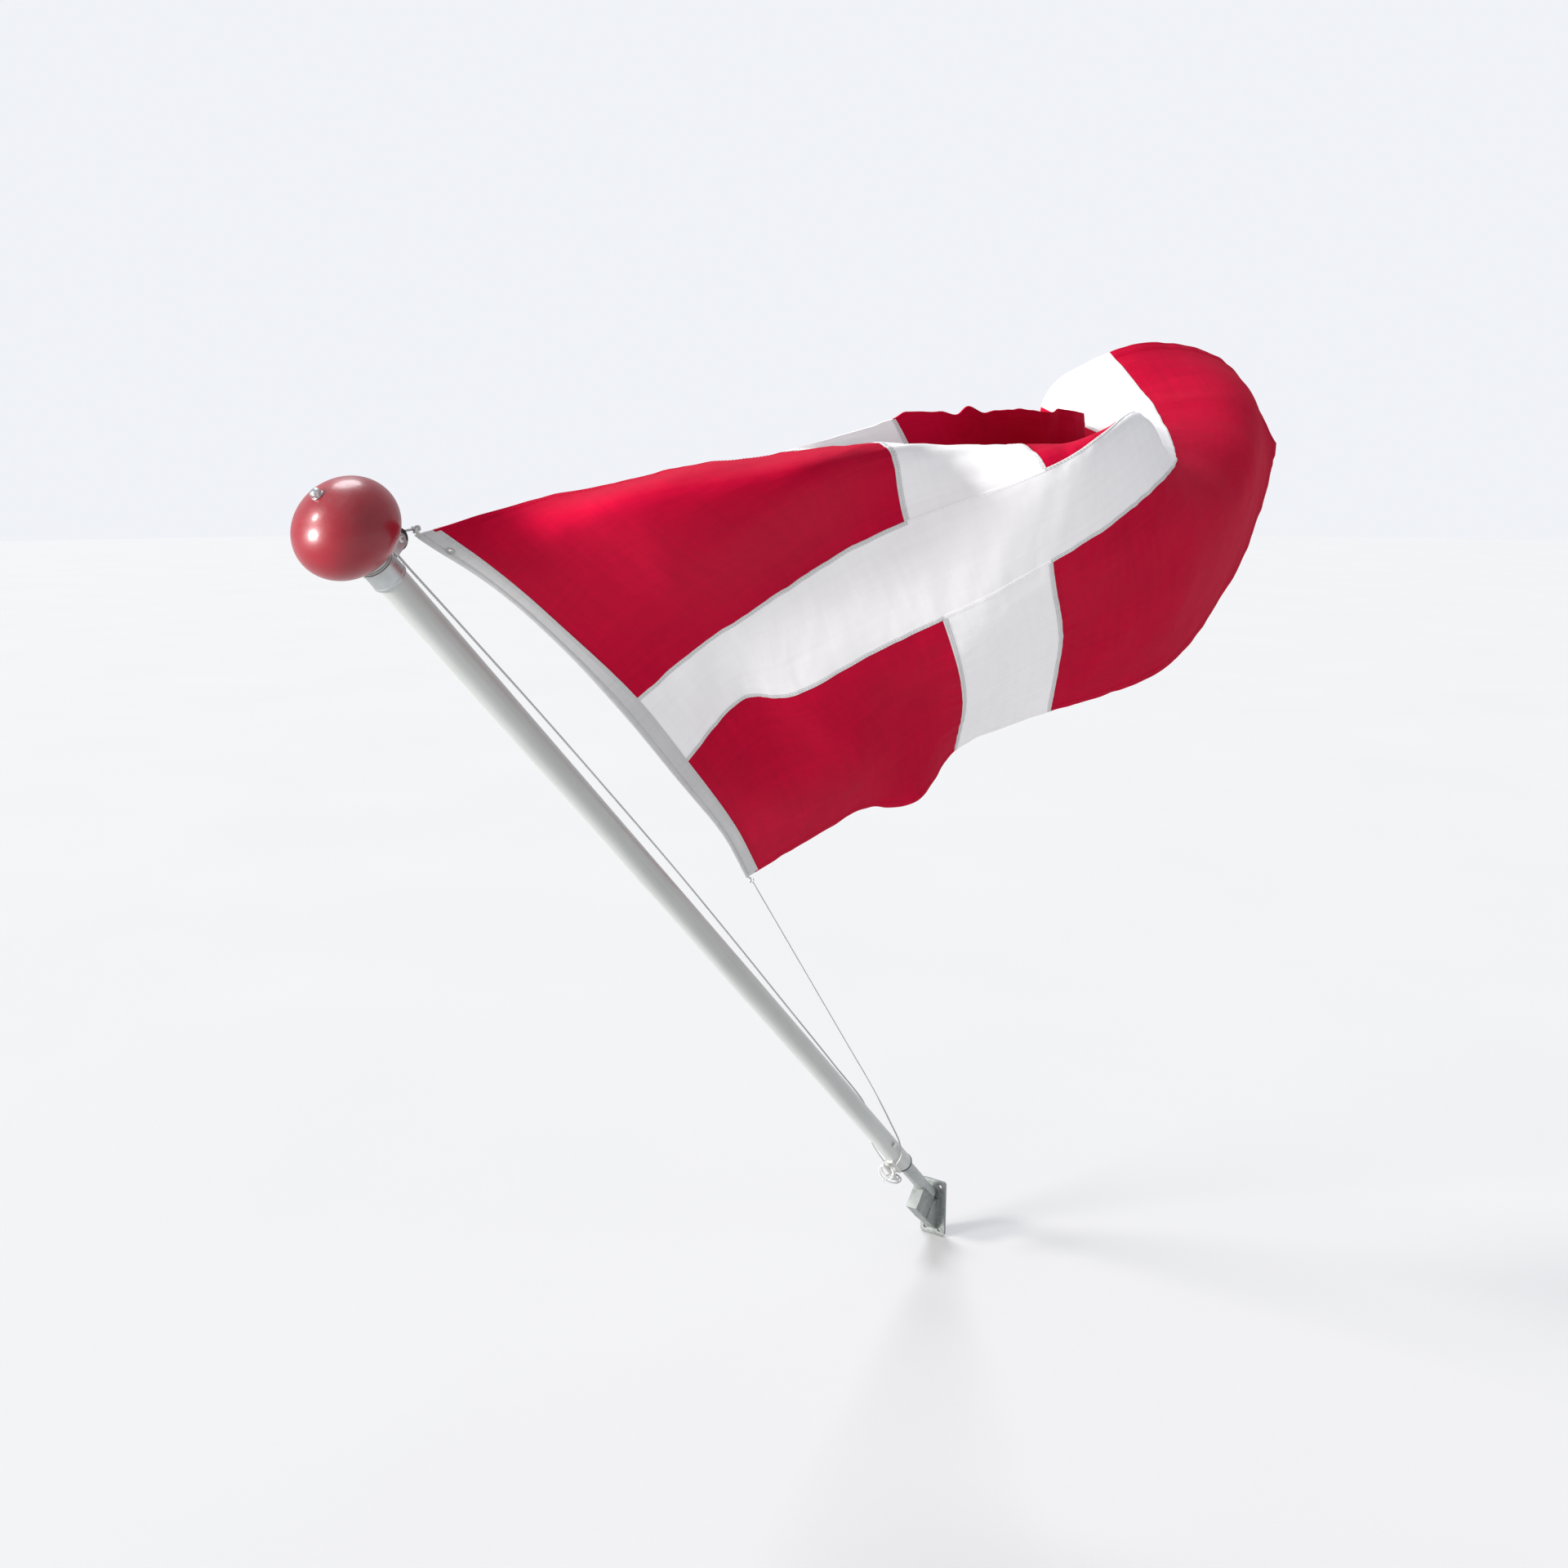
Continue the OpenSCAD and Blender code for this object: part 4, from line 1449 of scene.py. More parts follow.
    def strips(self) -> list[bpy.types.Object]:
        """Laps every seam of the cross.

        Returns:
            All the strips.
        """
        low, high, fly, drop = self.cuts
        made = []
        # Strips beside red cloth take the grey header canvas as painted shade along the seam; the strip between two
        # white panels stays white.
        for tag, level in (("upper", low), ("lower", high)):
            for piece, start, end, slot in (
                ("hoist", 0.2, low, "header"), ("middle", low, high, "white_cloth"), ("fly", high, fly, "header")
            ):
                made.append(self.seam_strip(f"seam_band_{tag}_{piece}", (start, end, level, level), slot))
        # The upright seams take the default grey header canvas as painted shade along the seam.
        for tag, c in (("inner", low), ("outer", high)):
            made.append(self.seam_strip(f"seam_upper_{tag}", (c, c, 0.02, low - 0.1)))
            made.append(self.seam_strip(f"seam_lower_{tag}", (c, c, high + 0.1, drop - 0.02)))
        return made

    def seam_thread(self) -> bpy.types.Object:
        """Sews two rows of stitches along every seam.

        Returns:
            The stitches as one mesh.
        """
        low, high, fly, drop = self.cuts
        side = 0.27 * self.seam_width / self.part
        rows = [(c + s * side, c + s * side) for c in (low, high) for s in (-1, 1)]
        seams = [(0.25, fly - 0.1, *row) for row in rows]
        seams += [(*row, *span) for row in rows for span in ((0.1, low - 0.15), (high + 0.15, drop - 0.1))]
        return self.sewn("seam_stitches", seams, self.skin + 0.95, "white_cloth")

    def hem_threads(self) -> list[bpy.types.Object]:
        """Sews the hems, with the thread in each panel's colour.

        Returns:
            The red thread and the white thread.
        """
        low, high, fly, drop = self.cuts
        hem, gap = self.hem_parts - 0.09, 0.2
        red, white = [], []
        for level in (hem, drop - hem):
            red += [(0.3, low - gap, level, level), (high + gap, fly - hem, level, level)]
            white.append((low + gap, high - gap, level, level))
        for inset in (hem, hem + 0.12, 0.1):
            edge = (fly - inset, fly - inset)
            red += [(*edge, hem, low - gap), (*edge, high + gap, drop - hem)]
            white.append((*edge, low + gap, high - gap))
        lift = self.skin + self.hem_skin + 0.15
        return [
            self.sewn("hem_stitches_red", red, lift, "red_cloth"),
            self.sewn("hem_stitches_white", white, lift, "white_cloth"),
        ]

    def build(self) -> list[bpy.types.Object]:
        """Returns:
            The header and the panels.
        """
        low, high, fly, drop = self.cuts
        header, eyelet = self.tape(), self.eyelet()
        rows = [(c, c, 0.15, drop - 0.15) for c in self.header_rows]
        header_thread = self.sewn("header_stitches", rows, 1.75, "header")
        panels = [
            self.panel("red_hoist_upper", (0, low, 0, low), "red_cloth", "red_upper_hoist"),
            self.panel("red_hoist_lower", (0, low, high, drop), "red_cloth", "red_lower_hoist"),
            self.panel("red_fly_upper", (high, fly, 0, low), "red_cloth", "red_upper_fly"),
            self.panel("red_fly_lower", (high, fly, high, drop), "red_cloth", "red_lower_fly"),
            self.panel("white_band", (0, fly, low, high), "white_cloth", "white_band_hoist", "white_band_fly"),
            self.panel("white_upright_upper", (low, high, 0, low), "white_cloth", "white_bar_upper"),
            self.panel("white_upright_lower", (low, high, high, drop), "white_cloth", "white_bar_lower"),
        ]
        strips = self.strips()
        seam_thread = self.seam_thread()
        red_thread, white_thread = self.hem_threads()
        return [header, *panels]


# ---------------------------------------------------------------- halyard and knots


@dataclass
class Halyard:
    """Rope from the cleat over the sheave to the flag's head, and from its foot back to the cleat."""

    flag: Flag
    rope_r: float = 2.0
    wrap_r: float = 15.8
    knot_r: float = 7.6
    end_r: float = 2.8
    lay_per_radius: float = 7.5
    ring_step: float = 1.6
    cleat_z: float = 240.0
    knot_at: float = -0.31

    def knot(self, level: float, shift: Sequence[float]) -> np.ndarray:
        """Middle of the knot beside a corner of the flag."""
        return self.flag.middle(np.array([self.knot_at]), np.array([level]))[0] + np.array(shift)

    def head_knot(self) -> np.ndarray:
        """Middle of the upper knot."""
        return self.knot(0.0, (-4, -4, 11))

    def foot_knot(self) -> np.ndarray:
        """Middle of the lower knot."""
        return self.knot(self.flag.hoist_parts, (-3, -4, -13))

    def hoist_route(self) -> np.ndarray:
        """Guide points from the cleat to the head knot.

        Returns:
            Evenly spaced points in the pole frame.
        """
        low = [[-12, -31, 272], [-18, -24, 310], [-25, -14, 345], [-29, 0, 375], [-24, 18, 415], [-8, 29, 470],
               [0, 33, 700], [0, 38, 950], [0, 44, 1250], [0, 47, 1500], [0, 46, 1750], [0, 43, 2000], [0, 38, 2200]]
        wrap = [
            [0, POLE.sheave_out + self.wrap_r * math.cos(t), POLE.sheave_z + self.wrap_r * math.sin(t)]
            for t in np.radians(np.arange(180, -1, -22.5))
        ]
        knot = self.head_knot()
        leave = np.array([0, POLE.sheave_out + self.wrap_r, POLE.sheave_z])
        way = (knot - leave) / np.linalg.norm(knot - leave)
        return smooth_route([*low, *wrap, (leave + knot) / 2, knot - 3 * way], 2.0)

    def foot_route(self) -> np.ndarray:
        """Guide points from the foot knot to the cleat.

        Returns:
            Evenly spaced points in the pole frame.
        """
        knot = self.foot_knot()
        low = np.array([[8, 66, 500], [18, 38, 380], [27, 12, 300], [28, -8, 275], [18, -27, 262]], float)
        way = (low[0] - knot) / np.linalg.norm(low[0] - knot)
        line = [between(knot, low[0], share) for share in (0.25, 0.5, 0.75)]
        return smooth_route([knot + 3 * way, *line, *low], 2.0)

    def turns_route(self) -> np.ndarray:
        """Figure-of-eight turns round the cleat's horns.

        Returns:
            Evenly spaced points in the pole frame.
        """
        turn = np.radians(np.arange(20, 701, 5))
        lap = np.degrees(turn) / 360
        x = (14 + 4.5 * lap) * np.sin(2 * turn)
        u = -37 - (15.5 + 9 * lap) * np.cos(turn) ** 2
        z = self.cleat_z + (24 + 4.5 * lap) * np.sin(turn)
        return smooth_route(np.stack([x, u, z], axis=1), 1.5)

    def knot_route(self, at: np.ndarray, along: np.ndarray) -> np.ndarray:
        """Overhand knot with its axis along the rope.

        Args:
            at: The knot's middle in the pole frame.
            along: The rope's direction there.

        Returns:
            Closed route in row-frame metres.
        """
        t = np.linspace(0, 2 * math.pi, 72, endpoint=False)
        loops = [np.sin(t) + 2 * np.sin(2 * t), np.cos(t) - 2 * np.cos(2 * t), -1.3 * np.sin(3 * t)]
        turn = np.array(POLE.matrix(at, along))
        return (self.knot_r - self.rope_r) / 3 * np.stack(loops, axis=1) @ turn[:3, :3].T + turn[:3, 3]

    def rope(self, name: str, node: str, routes: list, radius: float, cyclic: bool = False) -> bpy.types.Object:
        """Lays rope along row-frame routes, in place of a CAD node.

        Args:
            name: The piece's name.
            node: The CAD node that it stands for.
            routes: Row-frame points of each length.
            radius: The rope's radius, in millimetres.
            cyclic: Whether each length closes on itself.

        Returns:
            The rope.
        """
        values = {"Radius": radius * MM, "Lay Length": radius * self.lay_per_radius * MM,
                  "Step": self.ring_step * MM, "Finish": MATERIALS["halyard"]}
        route = poly_curve(name + "_route", routes, cyclic)
        return dress(outward(grown(name, route, ROPE, values)), "halyard", node)

    def build(self) -> list[bpy.types.Object]:
        """Lays every rope and ties the knots.

        Returns:
            Every length of rope and both knots.
        """
        lines = (
            ("halyard_line", "halyard_hoist_line", self.hoist_route()),
            ("halyard_return", "halyard_foot_line", self.foot_route()),
            ("halyard_cleat_turns", "halyard_turns", self.turns_route()),
        )
        made = [self.rope(name, node, [POLE.to_row(route)], self.rope_r) for name, node, route in lines]
        ends, knots = [], []
        for knot, level in ((self.head_knot(), 0.0), (self.foot_knot(), self.flag.hoist_parts)):
            hem = self.flag.middle(np.array([self.flag.bolt_rope_at]), np.array([level]))[0]
            ends.append(POLE.to_row(smooth_route([hem + (hem - knot) * 0.4, hem, (hem + knot) / 2, knot], 1.5)))
            knots.append(self.knot_route(knot, knot - hem))
        made.append(self.rope("header_rope", "header_rope_ends", ends, self.end_r))
        for name, node, route in zip(("knot_head", "knot_foot"), ("head_knot", "foot_knot"), knots):
            made.append(self.rope(name, node, [route], self.rope_r, cyclic=True))
        return made


# ---------------------------------------------------------------- turned and cast hardware


def merged(name: str, parts: Sequence[bpy.types.Object]) -> bpy.types.Object:
    """Joins several meshes into one piece and removes the originals.

    Args:
        name: The new piece's name.
        parts: The meshes.

    Returns:
        The joined piece.
    """
    verts: list[Vector] = []
    faces: list[list[int]] = []
    for part in parts:
        start = len(verts)
        verts.extend(v.co.copy() for v in part.data.vertices)
        faces.extend([start + i for i in p.vertices] for p in part.data.polygons)
        bpy.data.objects.remove(part)
    return sharpen(new_object(name, verts, faces), Crease.TURNED)


def hexed(obj: bpy.types.Object, place: Matrix, across: float, band: tuple[float, float]) -> bpy.types.Object:
    """Presses six flats into the round points of a turned piece.

    Args:
        obj: The turned piece.
        place: The transform that it was turned with.
        across: Distance between flats, in millimetres.
        band: Lowest and highest height that the flats reach.

    Returns:
        The same piece.
    """
    back = place.inverted()
    for vertex in obj.data.vertices:
        p = back @ vertex.co
        radius = math.hypot(p.x, p.y)
        angle = math.atan2(p.y, p.x) % (math.pi / 3) - math.pi / 6
        limit = across / 2 / math.cos(angle)
        if radius > limit and band[0] <= p.z <= band[1]:
            vertex.co = place @ Vector((p.x * limit / radius, p.y * limit / radius, p.z))
    return sharpen(obj, Crease.HEXAGON)


def dome(radius: float, height: float, base: float, steps: int = 8) -> list[tuple[float, float]]:
    """Profile of a dome that ends on the axis."""
    turns = [math.pi / 2 * k / steps for k in range(1, steps)]
    return [*((radius * math.cos(t), base + height * math.sin(t)) for t in turns), (0.0, base + height)]


def mirrored(half: Outline) -> list[tuple[float, float]]:
    """Adds the other half of a profile that is the same above and below its middle."""
    return [*half, *((r, -z) for r, z in reversed(half))]


@dataclass
class Shaft:
    """Pole tube, spigot, bush and the bolt that locks them."""

    tube_start: float = 205.0
    spigot_len: float = 355.0
    bolt_z: float = 325.0
    nut_r: float = 7.0
    bolt_r: float = 4.0
    pitch: float = 1.25
    threads: int = 12
    bush_lip: float = 4.8
    bush_len: float = 65.0
    bush_drop: float = 5.0

    def tube(self) -> bpy.types.Object:
        """Turns the pole's tube.

        Returns:
            The tube.
        """
        inner = POLE.pole_r - POLE.pole_wall
        wall = [(POLE.pole_r, self.tube_start), (POLE.pole_r, POLE.tube_end),
                (inner, POLE.tube_end), (inner, self.tube_start)]
        return dress(lathe("pole_shaft", rounded(wall, 0.7), POLE.matrix((0, 0, 0)), 128), "pole", "pole_tube")

    def spigot(self) -> bpy.types.Object:
        """Turns the spigot with its domed foot.

        Returns:
            The spigot.
        """
        r, end = POLE.spigot_r, self.spigot_len
        foot = [(r * math.sin(t), -r * math.cos(t)) for t in np.linspace(0, math.pi / 2, 20)]
        profile = [*foot, (r, end - 1), (r - 1, end), (0, end)]
        return dress(lathe("spigot_tube", profile, POLE.matrix((0, 0, 0))), "spigot", "spigot")

    def bush(self) -> bpy.types.Object:
        """Turns the bush at the pole's foot.

        Returns:
            The bush.
        """
        bore = POLE.spigot_r + POLE.fit_gap
        plug = POLE.pole_r - POLE.pole_wall - POLE.fit_gap
        lip = POLE.pole_r + 1
        outline = [(bore, 0), (lip, 0), (lip, self.bush_lip), (plug, self.bush_lip), (plug, self.bush_len),
                   (bore, self.bush_len)]
        place = POLE.matrix((0, 0, self.tube_start - self.bush_drop))
        return dress(lathe("pole_bush", rounded(outline, 1.1, 4), place), "bush", "foot_bush")

    def bolt(self) -> list[bpy.types.Object]:
        """Turns the locking bolt and its nut.

        Returns:
            The bolt and the nut.
        """
        place = POLE.matrix((0, 0, self.bolt_z), SIDEWAYS)
        r, out, wide = self.bolt_r, POLE.pole_r, self.nut_r
        flats = wide * 1.732
        tip, start = -out - 9, -out - 6.5
        thread = []
        for k in range(self.threads):
            z = tip + 0.8 + k * self.pitch
            thread += [(r - 0.55, z), (r, z + self.pitch / 2)]
        profile = [(0, tip), (r - 1.0, tip), *thread, (r, -out + 8), (r, out + 0.05), (wide, out + 0.05),
                   (wide, out + 4.3), (wide - 0.9, out + 5), (0, out + 5)]
        ring = [(r + 0.1, start), (wide - 0.9, start), (wide, start + 0.7), (wide, start + 5.3),
                (wide - 0.9, start + 6), (r + 0.1, start + 6)]
        bolt = hexed(lathe("lock_bolt", profile, place, 72), place, flats, (out, out + 5))
        nut = hexed(lathe("lock_nut", ring, place, 72), place, flats, (start, start + 6))
        return [dress(bolt, "bright_steel", "locking_bolt"), dress(nut, "bright_steel", "locking_nut")]

    def build(self) -> list[bpy.types.Object]:
        """Builds the shaft."""
        return [self.tube(), self.spigot(), self.bush(), *self.bolt()]


@dataclass
class Truck:
    """Collar, cap and sheave that turn the halyard at the pole's head."""

    collar_h: float = 34.0
    collar_wall: float = 3.0
    plug_len: float = 30.0
    sheave_r: float = 16.5
    groove_r: float = 13.0
    sheave_t: float = 10.0
    pin_r: float = 3.0
    cheek_t: float = 3.0

    @property
    def pin_place(self) -> Matrix:
        """Transform of the sheave and its pin."""
        return POLE.matrix((0, POLE.sheave_out, POLE.sheave_z), SIDEWAYS)

    def cap(self) -> bpy.types.Object:
        """Turns the plug that closes the tube under the ball.

        Returns:
            The plug.
        """
        r = POLE.pole_r
        plug, top = r - POLE.pole_wall - POLE.fit_gap, POLE.cap_t - 2 * POLE.fit_gap
        deep = -self.plug_len
        profile = [(0, deep), (plug - 1, deep), (plug, deep + 1), (plug, 0), (r - 0.4, 0), (r, 0.5), (r, top - 1.6),
                   (r - 0.5, top - 0.5), (r - 1.6, top), (0, top)]
        place = POLE.matrix((0, 0, POLE.tube_end + POLE.fit_gap))
        return dress(lathe("truck_plug", profile, place), "truck", "truck_cap")

    def collar(self) -> bpy.types.Object:
        """Turns the collar with a raised bead at each end.

        Returns:
            The collar.
        """
        bore, skin, high = POLE.pole_r + POLE.fit_gap, POLE.pole_r + self.collar_wall, self.collar_h - 2
        outline = [(bore, 0), (skin, 0), (skin, 4), (skin - 0.7, 5), (skin - 0.7, high - 5), (skin, high - 4),
                   (skin, high), (bore, high)]
        place = POLE.matrix((0, 0, POLE.tube_end - self.collar_h))
        return dress(lathe("truck_band", rounded(outline, 0.8, 4), place), "truck", "truck_collar")

    def ears(self) -> bpy.types.Object:
        """Rounds the edges of the two ears."""
        return dress(refined("sheave_cheeks", "truck_ears", 0.5), "truck", "sheave_cheeks")

    def wheel(self) -> bpy.types.Object:
        """Turns the sheave with a dished web.

        Returns:
            The sheave, on its own body.
        """
        half, rim, bore, bend = self.sheave_t / 2, self.sheave_r, self.pin_r + 0.08, 2.6
        groove = [(self.groove_r + bend * (1 - math.cos(t)), bend * math.sin(t)) for t in np.radians([-70, -45, -20])]
        web = half - 1.2
        outline = mirrored([(bore, -half), (6, -half), (6.8, -web), (11.4, -web), (12.2, -half), (rim, -half),
                            (rim, -half + 1), *groove])
        obj = lathe("sheave_wheel_rim", rounded(outline, 0.4, 2), self.pin_place)
        return dress(obj, "sheave", "sheave", body=SHEAVE_BODY)

    def pin(self) -> bpy.types.Object:
        """Turns the pin with its two peened heads.

        Returns:
            The pin.
        """
        half, r = self.sheave_t / 2 + 1 + self.cheek_t, self.pin_r
        head = r + 2
        profile = [(0, -half - 3.5), (head - 1.2, -half - 3.5), (head, -half - 2.6), (head, -half - 1.5),
                   (r, -half - 1.5), (r, half + 0.1), (head, half + 0.1), (head, half + 1.2),
                   (head - 1.2, half + 2.1), (0, half + 2.1)]
        return dress(lathe("sheave_axle", profile, self.pin_place, 48), "bright_steel", "sheave_pin")

    def build(self) -> list[bpy.types.Object]:
        """Builds the truck."""
        return [self.cap(), self.collar(), self.ears(), self.wheel(), self.pin()]


@dataclass
class BallFinial:
    """Flattened ball with its stem, washer and cap nut."""

    stem_r: float = 5.0
    steps: int = 56

    def ball(self) -> bpy.types.Object:
        """Turns the ball.

        Returns:
            The ball.
        """
        low, high = math.asin(-POLE.ball_seat / POLE.ball_semi), math.asin(POLE.crown_cut / POLE.ball_semi)
        arc = [(POLE.ball_r * math.cos(t), POLE.ball_semi * math.sin(t)) for t in np.linspace(low, high, self.steps)]
        bore = self.stem_r + POLE.fit_gap
        profile = [(bore, -POLE.ball_seat), (arc[0][0] - 1.2, -POLE.ball_seat), *arc, (bore, POLE.crown_cut)]
        return dress(lathe("finial_ball", profile, POLE.matrix((0, 0, POLE.pole_len)), 160), "ball", "ball_finial")

    def fixings(self) -> list[bpy.types.Object]:
        """Turns the stem, washer and cap nut.

        Returns:
            The stem, the washer and the nut.
        """
        r, foot, crown = self.stem_r, -POLE.ball_seat, POLE.crown_cut
        axis, at, tip, base = POLE.matrix((0, 0, POLE.pole_len)), crown + 0.1, crown + 7, crown + 1.7
        rod = [(0, foot), (r, foot), (r, tip - 0.8), (r - 0.8, tip), (0, tip)]
        bore = r + POLE.fit_gap
        ring = rounded([(bore, at), (9, at), (9, at + 1.5), (bore, at + 1.5)], 0.4)
        shell = [(0.0, base + 6.6), (r + 0.1, base + 6.6), (r + 0.1, base), (7.2, base), (8, base + 0.7),
                 (8, base + 5.2), (7.0, base + 6), (6.5, base + 6.1), *dome(6.5, 2.9, base + 6.1)]
        made = [
            dress(lathe("finial_stem", rod, axis, 48), "bright_steel", "ball_stem"),
            dress(lathe("finial_washer", ring, axis, 64), "bright_steel", "ball_washer"),
        ]
        nut = hexed(lathe("finial_nut", shell, axis, 72), axis, 13.86, (base, base + 6.05))
        return [*made, dress(nut, "bright_steel", "ball_nut")]

    def build(self) -> list[bpy.types.Object]:
        """Builds the finial."""
        return [self.ball(), *self.fixings()]


@dataclass
class Bracket:
    """Wall plate, gusset and lug with their welds."""

    half_w: float = 15.0
    lug_h: float = 50.0
    lug_end: float = 65.0
    plate_t: float = 8.0
    bead: float = 5.0
    bead_pitch: float = 2.4

    def casting(self) -> list[bpy.types.Object]:
        """Rounds the edges of the steel parts.

        Returns:
            The plate, the gusset and the lug.
        """
        parts = (("wall_plate", "bracket_plate", 1.2), ("support_gusset", "bracket_gusset", 1.4),
                 ("pole_lug", "bracket_lug", 1.4))
        return [dress(refined(node, name, bevel), "bracket", node) for node, name, bevel in parts]

    def welds(self) -> bpy.types.Object:
        """Lays weld beads between plate, gusset, lug and spigot.

        Returns:
            All the beads as one mesh.
        """
        side = self.half_w + 0.2
        top, deep = -POLE.spigot_r - 3, 3 - POLE.spigot_r - self.lug_h
        routes = []
        for x in (-1, 1):
            lug = [[x * 14.4, -9.6, z] for z in np.linspace(-8, self.lug_end - 2, 30)]
            end = [[x * side, u, -10.2] for u in np.linspace(top, deep, 24)]
            foot = np.array([[x * side, -self.plate_t - 0.6, z] for z in np.linspace(-58, 25, 36)])
            routes += [POLE.to_row(lug), POLE.to_row(end), foot * MM]
        values = {"Pitch": self.bead_pitch * MM, "Bead": self.bead * MM, "Seed": 5, "Finish": MATERIALS["bracket"]}
        return dress(grown("bracket_welds", poly_curve("weld_routes", routes), WELDS, values), "bracket")

    def build(self) -> list[bpy.types.Object]:
        """Builds the bracket."""
        return [*self.casting(), self.welds()]


@dataclass
class Cleat:
    """Two-horned cleat on the pole's underside."""

    cleat_z: float = 240.0
    reach: float = 21.0
    base_t: float = 6.0
    horn_r: float = 5.0
    horn_len: float = 110.0
    tip_r: float = 4.2
    post_gap: float = 30.0
    screw_gap: float = 52.0

    def stand(self, shift: float) -> Matrix:
        """Transform of a post or screw that stands on the base."""
        return POLE.matrix((0, -POLE.pole_r - self.base_t - POLE.fit_gap, self.cleat_z + shift), DOWN)

    def horns(self) -> bpy.types.Object:
        """Turns the bar with tapered tips and the two flared posts.

        Returns:
            The bar and posts as one piece.
        """
        half, tip, rise = self.horn_len / 2, self.tip_r, self.reach - self.base_t
        ends = [(tip * math.sin(t), -half + tip * (1 - math.cos(t))) for t in np.linspace(0.25, 1.45, 6)]
        profile = mirrored([(0, -half), *ends, (4.4, -half + 8), (4.8, -half + 20), (self.horn_r, -half + 32)])
        bar = lathe("bar", profile, POLE.matrix((0, -POLE.pole_r - self.reach, self.cleat_z)), 48)
        neck = [(0, 0), (6.6, 0), (6.4, 0.8), (5.3, 2.6), (4.7, 5), (4.6, rise - 5), (4.8, rise - 2),
                (4.6, rise - 0.5), (0, rise)]
        posts = [lathe("post", neck, self.stand(k * self.post_gap / 2), 36) for k in (-1, 1)]
        return dress(merged("cleat_bar", [bar, *posts]), "cleat", "cleat_horns")

    def screws(self) -> bpy.types.Object:
        """Turns button-head screws with a hexagon socket.

        Returns:
            Both screws as one piece.
        """
        parts = []
        profile = [(0, -5), (1.6, -5), (2, -4.4), (2, 0), (3.6, 0), (3.5, 0.7), (3.0, 1.5), (2.2, 1.95), (1.5, 2.0),
                   (1.35, 1.8), (1.3, 0.7), (0, 0.6)]
        for k in (-1, 1):
            place = self.stand(k * self.screw_gap / 2)
            parts.append(hexed(lathe("screw", profile, place, 36), place, 2.5, (0.65, 1.9)))
        return dress(merged("cleat_screw_heads", parts), "bright_steel", "cleat_screws")

    def build(self) -> list[bpy.types.Object]:
        """Builds the cleat."""
        saddle = dress(refined("cleat_base", "cleat_saddle", 1.3, 3), "cleat", "cleat_base")
        return [saddle, self.horns(), self.screws()]


# ---------------------------------------------------------------- studio


@dataclass(frozen=True)
class SoftLight:
    """One soft far light: where it stands, its width in degrees and its strength."""

    name: str
    at: tuple[float, float, float]
    width: float
    strength: float
    colour: Colour = (1.0, 1.0, 1.0)


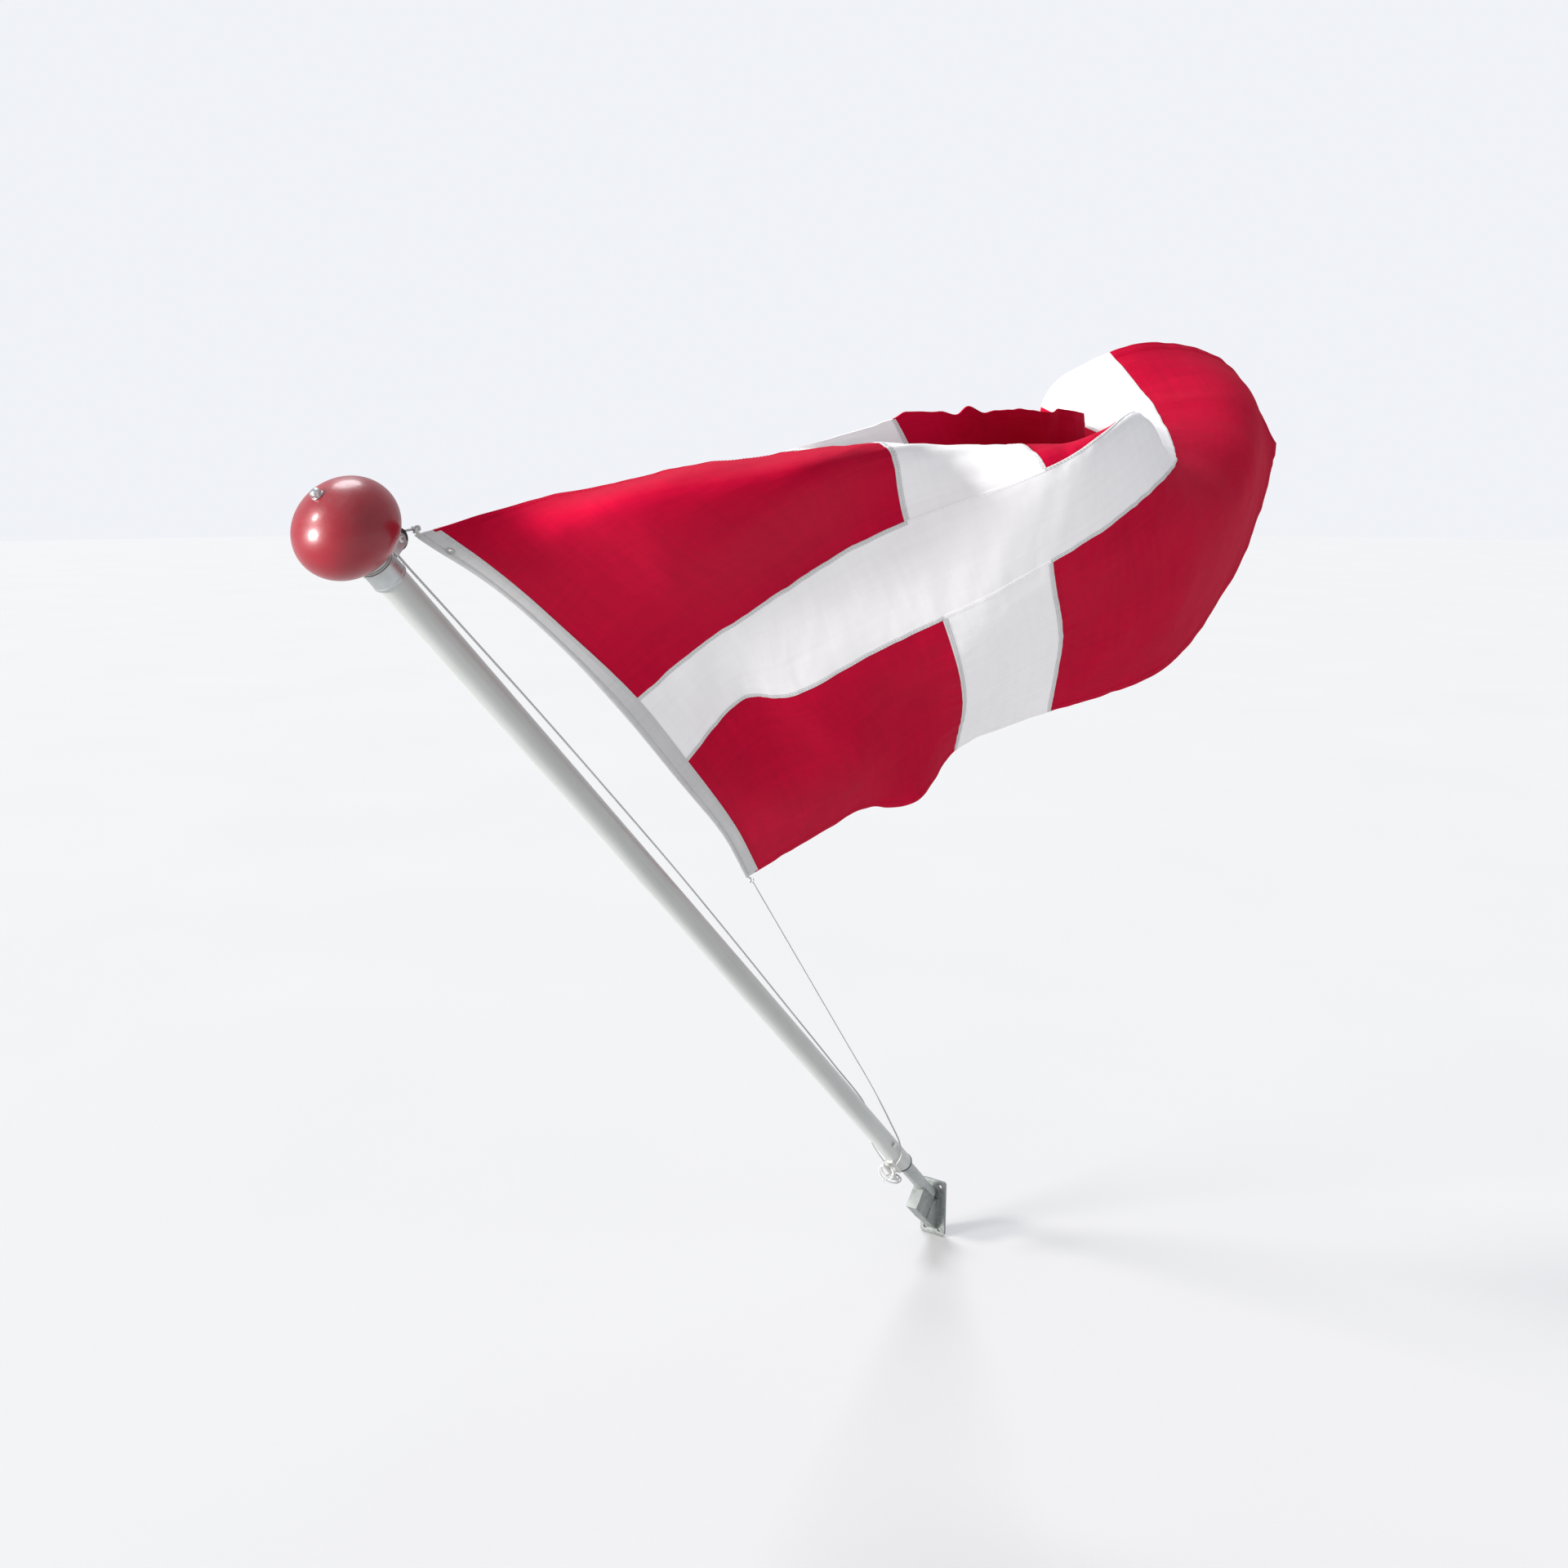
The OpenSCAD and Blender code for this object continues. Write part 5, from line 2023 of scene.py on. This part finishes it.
@dataclass
class Studio:
    """Pale floor, pale world, soft lights and the camera."""

    aim: tuple[float, float, float] = (0.35, -0.95, 1.45)
    floor_r: float = 45.0
    floor_gap: float = 0.002
    floor_tone: tuple[float, float] = (0.61, 0.64)
    lens: float = 33.75
    eye: tuple[float, float, float] = (1.63629, -3.12141, 1.86197)
    right: tuple[float, float, float] = (0.82902, 0.55921, 0.0)
    up: tuple[float, float, float] = (-0.11627, 0.17236, 0.97815)
    back: tuple[float, float, float] = (0.54699, -0.81091, 0.20791)
    world_strength: float = 0.67
    backdrop: float = 0.94
    lights: tuple[SoftLight, ...] = (
        SoftLight("key", (-5.6, -11.2, 2.6), 22.0, 4.8, (1.0, 0.98, 0.96)),
        SoftLight("upper_left", (-2.7, -4.6, 4.4), 10.0, 1.5, (1.0, 0.97, 0.93)),
        SoftLight("top", (-1.6, 0.2, 4.9), 26.0, 1.5, (0.95, 0.97, 1.0)),
    )

    def floor(self) -> None:
        """Lays the pale floor just under the object."""
        z = float(cad_box[0][2]) - self.floor_gap
        turns = np.linspace(0, 2 * math.pi, 128, endpoint=False)
        rim = [(self.floor_r * math.cos(t), self.floor_r * math.sin(t), z) for t in turns]
        obj = new_object("studio_floor", rim, [range(len(rim))])
        paint = Paint("pale_floor")
        tone = paint.span(paint.noise(paint.where(), 0.8, 3.0), *self.floor_tone)
        grey = paint.out("ShaderNodeCombineColor", dict.fromkeys(range(3), tone))
        paint.feed(paint.shader.inputs["Base Color"], grey)
        paint.feed(paint.shader.inputs["Roughness"], 0.9)
        obj.data.materials.append(paint.material)

    def world(self) -> None:
        """Sets the pale surroundings, which the camera sees a little brighter than they shine."""
        world = bpy.data.worlds.new("pale_studio")
        world.use_nodes = True
        back = world.node_tree.nodes["Background"]
        back.inputs["Color"].default_value = (0.93, 0.95, 1.0, 1.0)
        kit = NodeTree(world.node_tree)
        seen = kit.add("ShaderNodeLightPath").outputs["Is Camera Ray"]
        kit.feed(back.inputs["Strength"], kit.span(seen, self.world_strength, self.backdrop))
        bpy.context.scene.world = world

    def lamp(self, spec: SoftLight) -> None:
        """Hangs one soft light.

        Args:
            spec: The light.
        """
        data = bpy.data.lights.new(spec.name, "SUN")
        data.angle = math.radians(spec.width)
        data.energy = spec.strength
        data.color = spec.colour
        obj = linked(spec.name, data)
        obj.location = spec.at
        obj.rotation_euler = (Vector(self.aim) - Vector(spec.at)).to_track_quat("-Z", "Y").to_euler()

    def camera(self) -> None:
        """Sets the camera at the viewing angle."""
        data = bpy.data.cameras.new("view")
        data.lens = self.lens
        data.sensor_width = 36.0
        data.clip_end = 100.0
        obj = linked("view", data)
        columns = Matrix((self.right, self.up, self.back)).transposed().to_4x4()
        obj.matrix_world = Matrix.Translation(self.eye) @ columns
        bpy.context.scene.camera = obj

    def build(self) -> None:
        """Sets up the studio and shows colours as they are, without a film look."""
        self.floor()
        self.world()
        bpy.context.scene.view_settings.view_transform = "Standard"
        bpy.context.scene.view_settings.look = "None"
        for spec in self.lights:
            self.lamp(spec)
        self.camera()
        log.info("studio: %d lights", len(self.lights))


def main() -> None:
    """Builds the flagpole, then the studio."""
    logging.basicConfig(level=logging.INFO, format="%(name)s: %(message)s")
    flag = Flag()
    for assembly in (Bracket(), Shaft(), Truck(), BallFinial(), Cleat(), Halyard(flag), flag):
        pieces = assembly.build()
        log.info("%s: %d pieces", type(assembly).__name__, len(pieces))
    Studio().build()


if __name__ == "__main__":
    main()
